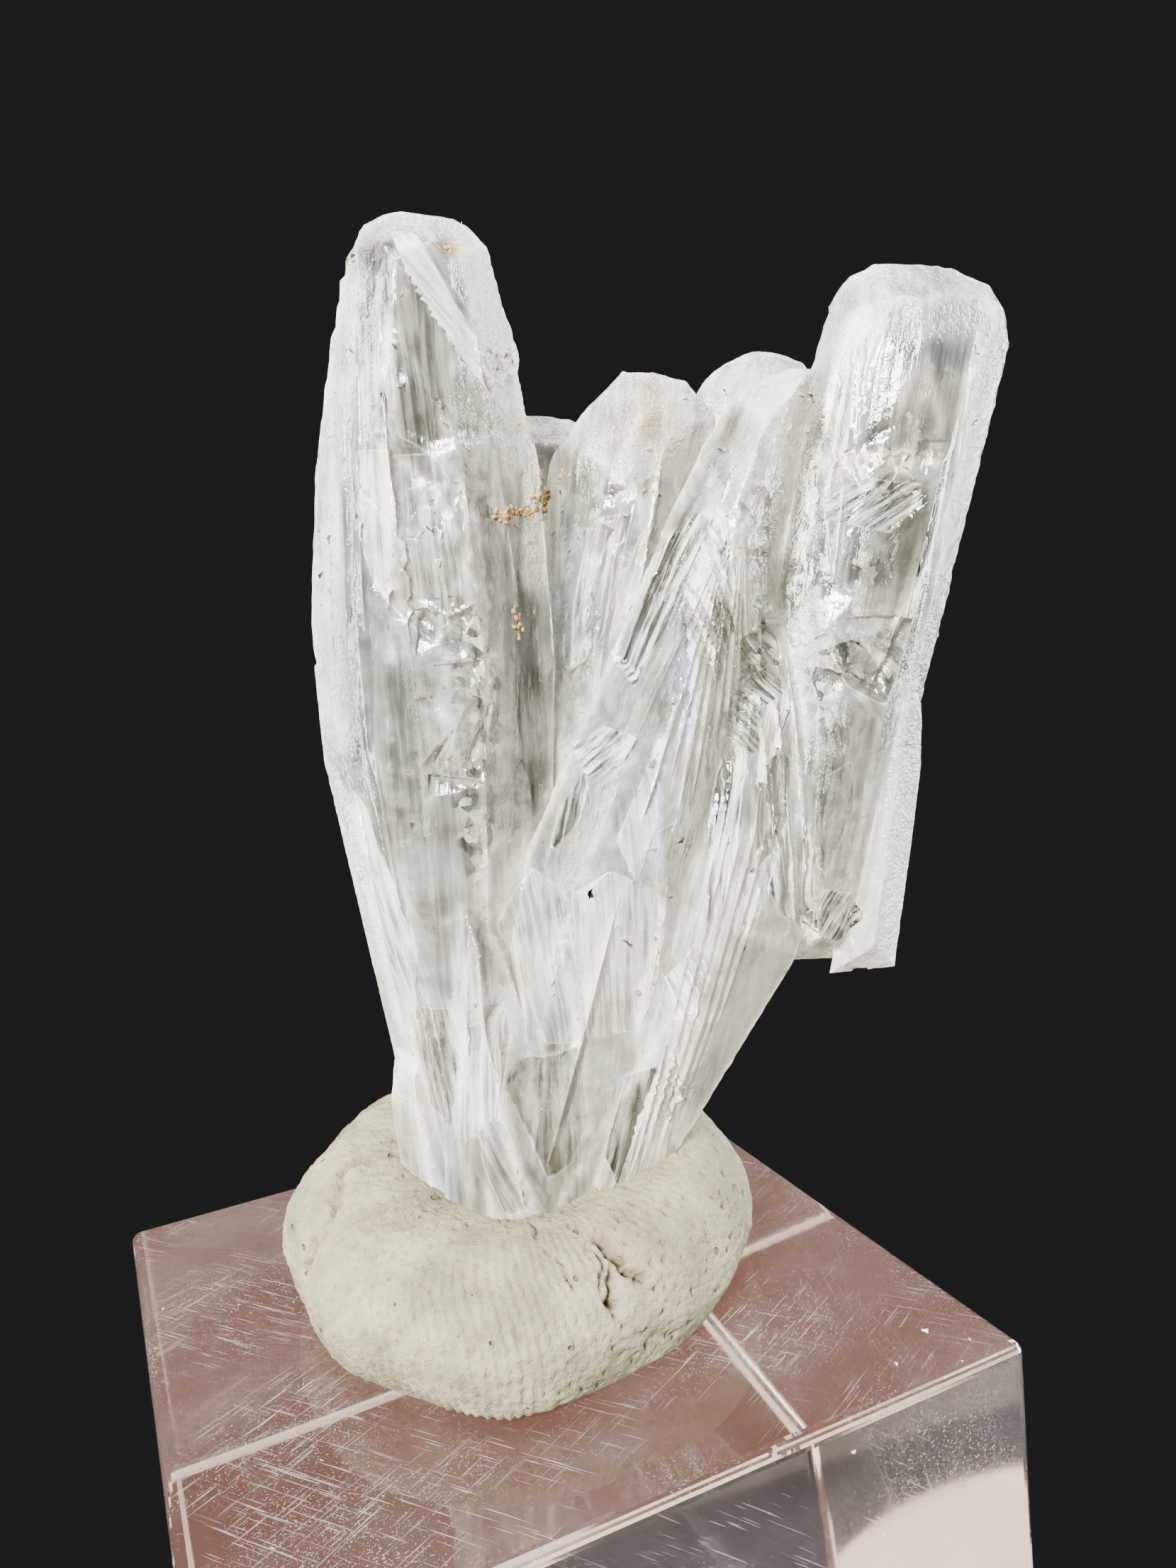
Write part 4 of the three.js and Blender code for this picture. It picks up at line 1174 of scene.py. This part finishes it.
def make_putty_finish():
    material, tree = new_material("mounting_putty")
    place = node(tree, "ShaderNodeTexCoord").outputs["Object"]
    darkening = node(tree, "ShaderNodeAttribute", attribute_name="darkening").outputs["Fac"]
    mottle = node(tree, "ShaderNodeTexNoise", {
        "Vector": place, "Scale": MOTTLE_TURNS, "Detail": 6, "Roughness": 0.65,
    }).outputs["Fac"]
    flecks = node(tree, "ShaderNodeTexNoise", {
        "Vector": place, "Scale": FLECK_TURNS, "Detail": 3, "Roughness": 0.65,
    }).outputs["Fac"]
    mottle_share = node(tree, "ShaderNodeMapRange", {
        "Value": mottle, **NOISE_SPAN,
    }).outputs["Result"]
    mottled = node(tree, "ShaderNodeMix", {
        "Factor": mottle_share, 6: linear("#635f46"), 7: linear("#8a8468"),
    }, data_type="RGBA").outputs[2]
    fleck_share = node(tree, "ShaderNodeMapRange", {
        "Value": flecks, "From Min": 0.54, "From Max": 0.70, "To Min": 0, "To Max": 0.55,
    }).outputs["Result"]
    flecked = node(tree, "ShaderNodeMix", {
        "Factor": fleck_share, 6: mottled, 7: linear("#6f6b58"),
    }, data_type="RGBA").outputs[2]

    # Tiny holes, where air was kneaded in. They are coloured darker, as the tears and pits are
    holes = cell_spots(tree, place, (HOLE_TURNS,) * 3, 0.5, 0.16, (-0.02, 0.05))
    darkened = node(tree, "ShaderNodeMath", {0: darkening, 1: holes}, operation="MAXIMUM").outputs[0]
    darkened_colour = node(tree, "ShaderNodeMix", {
        "Factor": darkened, 6: flecked, 7: linear("#574a36"),
    }, data_type="RGBA").outputs[2]
    relief = node(tree, "ShaderNodeMath", {
        0: holes, 1: -1.5, 2: flecks,
    }, operation="MULTIPLY_ADD").outputs[0]
    bump = node(tree, "ShaderNodeBump", {
        "Height": relief, "Strength": 1.0, "Distance": 0.16 * MM,
    }).outputs["Normal"]
    roughness = node(tree, "ShaderNodeMapRange", {
        "Value": mottle, "To Min": 0.62, "To Max": 0.85,
    }).outputs["Result"]
    shade(tree, {"Base Color": darkened_colour, "Roughness": roughness, "Normal": bump})
    return material


paint_smooth(putty, make_putty_finish(), 50)
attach(putty, "root")
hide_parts("mounting_putty")

# %% [markdown]
# Small ochre grains of iron oxide sit in the gap between the two left blades, and a few
# more on the faces. Each one is a rough little lump, dropped on the crystal from in front.

# %% Ochre grains
# Radii in millimetres, the place in front that they drop from, and turns per metre of
# their mottling, which is 0.3 mm wide
GRAIN_SIZES = (0.05, 0.12)
IN_FRONT = -12
OCHRE_TURNS = 3000
# Middle and spread of each patch in millimetres across and up, and how many grains it has
GRAIN_PLACES = [
    (3.7, 66.0, 0.2, 0.16, 30), (4.3, 66.1, 0.26, 0.12, 36), (4.9, 66.4, 0.14, 0.24, 26),
    (5.2, 67.1, 0.14, 0.3, 22), (6.1, 67.7, 0.16, 0.12, 8), (3.6, 62.1, 0.08, 0.18, 16),
    (3.55, 61.4, 0.1, 0.14, 14), (4.6, 69.4, 0.1, 0.1, 3), (2.5, 76.3, 0.14, 0.1, 6),
    (0.9, 51.4, 0.1, 1.6, 4), (17.0, 69.0, 0.1, 0.08, 3), (9.0, 66.8, 1.0, 0.3, 6),
]
surface = BVHTree.FromObject(crystals, bpy.context.evaluated_depsgraph_get())
toward_back = Vector(FAN @ (0, 1, 0))


def make_grains():
    bpy.ops.object.select_all(action="DESELECT")
    made = []
    for u, z, spread_u, spread_z, count in GRAIN_PLACES:
        for _ in range(count):
            start = to_row((u + rng.gauss(0, spread_u), IN_FRONT, z + rng.gauss(0, spread_z)))
            place, _, _, _ = surface.ray_cast(start, toward_back)
            if place is None:
                continue
            size = rng.uniform(*GRAIN_SIZES) * MM
            bpy.ops.mesh.primitive_ico_sphere_add(subdivisions=1, radius=size, location=place)
            grain_piece = bpy.context.object
            grain_piece.rotation_euler = [rng.uniform(0, 6) for _ in range(3)]
            grain_piece.scale = [rng.uniform(0.7, 1.3) for _ in range(3)]
            made.append(grain_piece)
    bpy.ops.object.select_all(action="DESELECT")
    for grain_piece in made:
        grain_piece.select_set(True)
    bpy.context.view_layer.objects.active = made[0]
    bpy.ops.object.join()
    bpy.ops.object.transform_apply(location=True, rotation=True, scale=True)
    grains = bpy.context.object
    grains.name = "ochre_grains"
    return grains


def make_ochre():
    material, tree = new_material("iron_oxide")
    place = node(tree, "ShaderNodeTexCoord").outputs["Object"]
    mottle = node(tree, "ShaderNodeTexNoise", {
        "Vector": place, "Scale": OCHRE_TURNS, "Detail": 2,
    }).outputs["Fac"]
    colour = node(tree, "ShaderNodeMix", {
        "Factor": mottle, 6: linear("#7b582f"), 7: linear("#c6a268"),
    }, data_type="RGBA").outputs[2]
    shade(tree, {"Base Color": colour, "Roughness": 0.75})
    return material


grains = make_grains()
paint(grains, make_ochre())
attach(grains, "root")
print("grain faces:", len(grains.data.polygons))

# %% [markdown]
# The cube is cast acrylic, cut and polished. It is clear and bends light a little less than
# glass. Handling has left it hazy: crowds of hairline scratches, and white nicks and dust
# where the surface is chipped. Those scatter light, so they are a little less clear.

# %% Acrylic
ACRYLIC_IOR = 1.49
# One turn of the scratch pattern: a scratch is about 2 mm long and half of 0.07 mm wide
SCRATCH_SIZE = (2.4 * MM, 0.07 * MM, 0.07 * MM)
# Turns per metre: scratches crowd in patches 6 mm wide, and smears are 7 mm wide
PATCH_TURNS = 170
SMEAR_TURNS = 150
# Two ways lie in the top, one in the front and one in the side
SCRATCH_WAYS = [(0, 0, 0.5), (0, 0, -0.9), (0, 0.7, 0), (0, -0.8, 1.57)]
# Cells of 1 to 2 mm, each with one nick, whose outline is shaken by a finer noise
NICK_TURNS = (900, 640, 480)
SHAKE_TURNS = 3600
NICK_SHAKE = 0.5 * MM


def hairlines(tree, place, turn, crowd):
    """Thin straight scratches in one direction, where crowd is high: noise stretched along
    them. A Mapping node of the kind Texture turns the places before it stretches them."""
    turned = node(tree, "ShaderNodeMapping", {
        "Vector": place, "Rotation": turn, "Scale": SCRATCH_SIZE,
    }, vector_type="TEXTURE").outputs["Vector"]
    lines = node(tree, "ShaderNodeTexNoise", {
        "Vector": turned, "Scale": 1, "Detail": 1,
    }).outputs["Fac"]
    thin = node(tree, "ShaderNodeMapRange", {
        "Value": lines, "From Min": 0.65, "From Max": 0.70,
    }).outputs["Result"]
    here = node(tree, "ShaderNodeMapRange", {
        "Value": crowd, "From Min": 0.44, "From Max": 0.6,
    }).outputs["Result"]
    return node(tree, "ShaderNodeMath", {0: thin, 1: here}, operation="MULTIPLY").outputs[0]


def make_acrylic():
    material, tree = new_material("clear_acrylic")
    place = node(tree, "ShaderNodeTexCoord").outputs["Object"]
    crowds = node(tree, "ShaderNodeTexNoise", {
        "Vector": place, "Scale": PATCH_TURNS, "Detail": 2,
    }).outputs["Color"]
    crowds = node(tree, "ShaderNodeSeparateXYZ", {"Vector": crowds}).outputs
    scratches = 0.0
    for i, turn in enumerate(SCRATCH_WAYS):
        scratches = node(tree, "ShaderNodeMath", {
            0: scratches, 1: hairlines(tree, place, turn, crowds[i % 3]),
        }, operation="MAXIMUM").outputs[0]
    smears = node(tree, "ShaderNodeTexNoise", {
        "Vector": place, "Scale": SMEAR_TURNS, "Detail": 3, "Roughness": 0.6,
    }).outputs["Fac"]
    # Nicks are ragged, because the places are shaken before they are looked up
    shake = node(tree, "ShaderNodeTexNoise", {
        "Vector": place, "Scale": SHAKE_TURNS,
    }).outputs["Color"]
    shaken = node(tree, "ShaderNodeVectorMath", {
        0: shake, 1: (NICK_SHAKE,) * 3, 2: place,
    }, operation="MULTIPLY_ADD").outputs[0]
    nicks = cell_spots(tree, shaken, NICK_TURNS, 0.4, 0.09, (0.0, 0.03))

    haze = node(tree, "ShaderNodeMapRange", {
        "Value": smears, **NOISE_SPAN, "To Min": 0.985, "To Max": 0.97,
    }).outputs["Result"]
    for share, strength in ((scratches, -0.15), (nicks, -0.7)):
        haze = node(tree, "ShaderNodeMath", {
            0: share, 1: strength, 2: haze,
        }, operation="MULTIPLY_ADD").outputs[0]
    clearness = node(tree, "ShaderNodeClamp", {"Value": haze}).outputs[0]
    smeared = node(tree, "ShaderNodeMapRange", {
        "Value": smears, **NOISE_SPAN, "To Min": 0.03, "To Max": 0.07,
    }).outputs["Result"]
    roughness = node(tree, "ShaderNodeMath", {
        0: scratches, 1: 0.2, 2: smeared,
    }, operation="MULTIPLY_ADD").outputs[0]
    shade(tree, {
        "Base Color": linear("#f6efec"), "Transmission Weight": clearness,
        "Roughness": roughness, "IOR": ACRYLIC_IOR,
    }, absorbed=("#efdfd5", 12))
    return material


paint_smooth(nodes["acrylic_block"], make_acrylic(), 35)

# %% [markdown]
# A pale plate to stand on, a dark room, and soft light from large panels at the sides and
# above. Clear crystal shows what it bends the light from, so the panels matter more than
# their brightness: they are what its faces mirror.

# %% Floor and light
PLATE_RADIUS = 27 * MM
PLATE_THICKNESS = 1 * MM
# Stands for the light that the clear cube gathers onto the plate under it
FLOOR_GLOW = 0.3

bpy.ops.object.select_all(action="DESELECT")
bpy.ops.mesh.primitive_cylinder_add(
    vertices=128, radius=PLATE_RADIUS, depth=PLATE_THICKNESS,
    location=(0, 0, -PLATE_THICKNESS / 2),
)
floor = bpy.context.object
floor.name = "floor_plate"
bpy.ops.object.transform_apply(location=True)
pale_plate, plate_tree = new_material("pale_plate")
shade(plate_tree, {
    "Base Color": linear("#cdbfb4"), "Roughness": 0.6,
    "Emission Color": linear("#a8684c"), "Emission Strength": FLOOR_GLOW,
})
paint(floor, pale_plate)

world = bpy.data.worlds.new("dark_room")
world.use_nodes = True
world.node_tree.nodes["Background"].inputs["Color"].default_value = linear("#222223")
bpy.context.scene.world = world

AIM = Vector((0.004, 0, 0.05))


def softbox(name, place, width, height, watts):
    light = bpy.data.lights.new(name, "AREA")
    light.shape = "RECTANGLE"
    light.size, light.size_y = width, height
    light.energy = watts
    box = bpy.data.objects.new(name, light)
    bpy.context.scene.collection.objects.link(box)
    box.location = place
    box.rotation_euler = (AIM - Vector(place)).to_track_quat("-Z", "Y").to_euler()
    box.visible_camera = False


softbox("key_panel", (-0.26, -0.26, 0.26), 0.14, 0.14, 12.5)
softbox("top_panel", (0.02, 0.02, 0.42), 0.20, 0.20, 3.4)
softbox("right_panel", (0.34, -0.06, 0.10), 0.10, 0.30, 4.2)
softbox("left_rim", (-0.32, 0.14, 0.12), 0.08, 0.36, 2.8)
softbox("right_rim", (0.32, 0.16, 0.10), 0.08, 0.30, 1.6)
softbox("back_panel", (0.16, 0.46, 0.14), 0.50, 0.40, 0.12)

# %% [markdown]
# The camera stands where the photographer's did. Its place and turn were worked out from
# the cube's square top, whose corners show in the picture.

# %% Camera
CAMERA_PLACE = (-14.856, -49.131, 61.663)
CAMERA_YAW = 23.332875
CAMERA_PITCH = 8.024264
CAMERA_ROLL = -5.7101
CAMERA_LENS = 27.03

camera_data = bpy.data.cameras.new("camera")
camera_data.sensor_width = 36
camera_data.lens = CAMERA_LENS
camera_data.clip_start = 0.001
camera = bpy.data.objects.new("camera", camera_data)
bpy.context.scene.collection.objects.link(camera)
yaw, pitch, roll = (math.radians(a) for a in (CAMERA_YAW, CAMERA_PITCH, CAMERA_ROLL))
level = Matrix.Rotation(-yaw, 4, "Z") @ Matrix.Rotation(math.pi / 2 - pitch, 4, "X")
camera.matrix_world = (
    Matrix.Translation(Vector(CAMERA_PLACE) * MM) @ level @ Matrix.Rotation(roll, 4, "Z")
)
bpy.context.scene.camera = camera
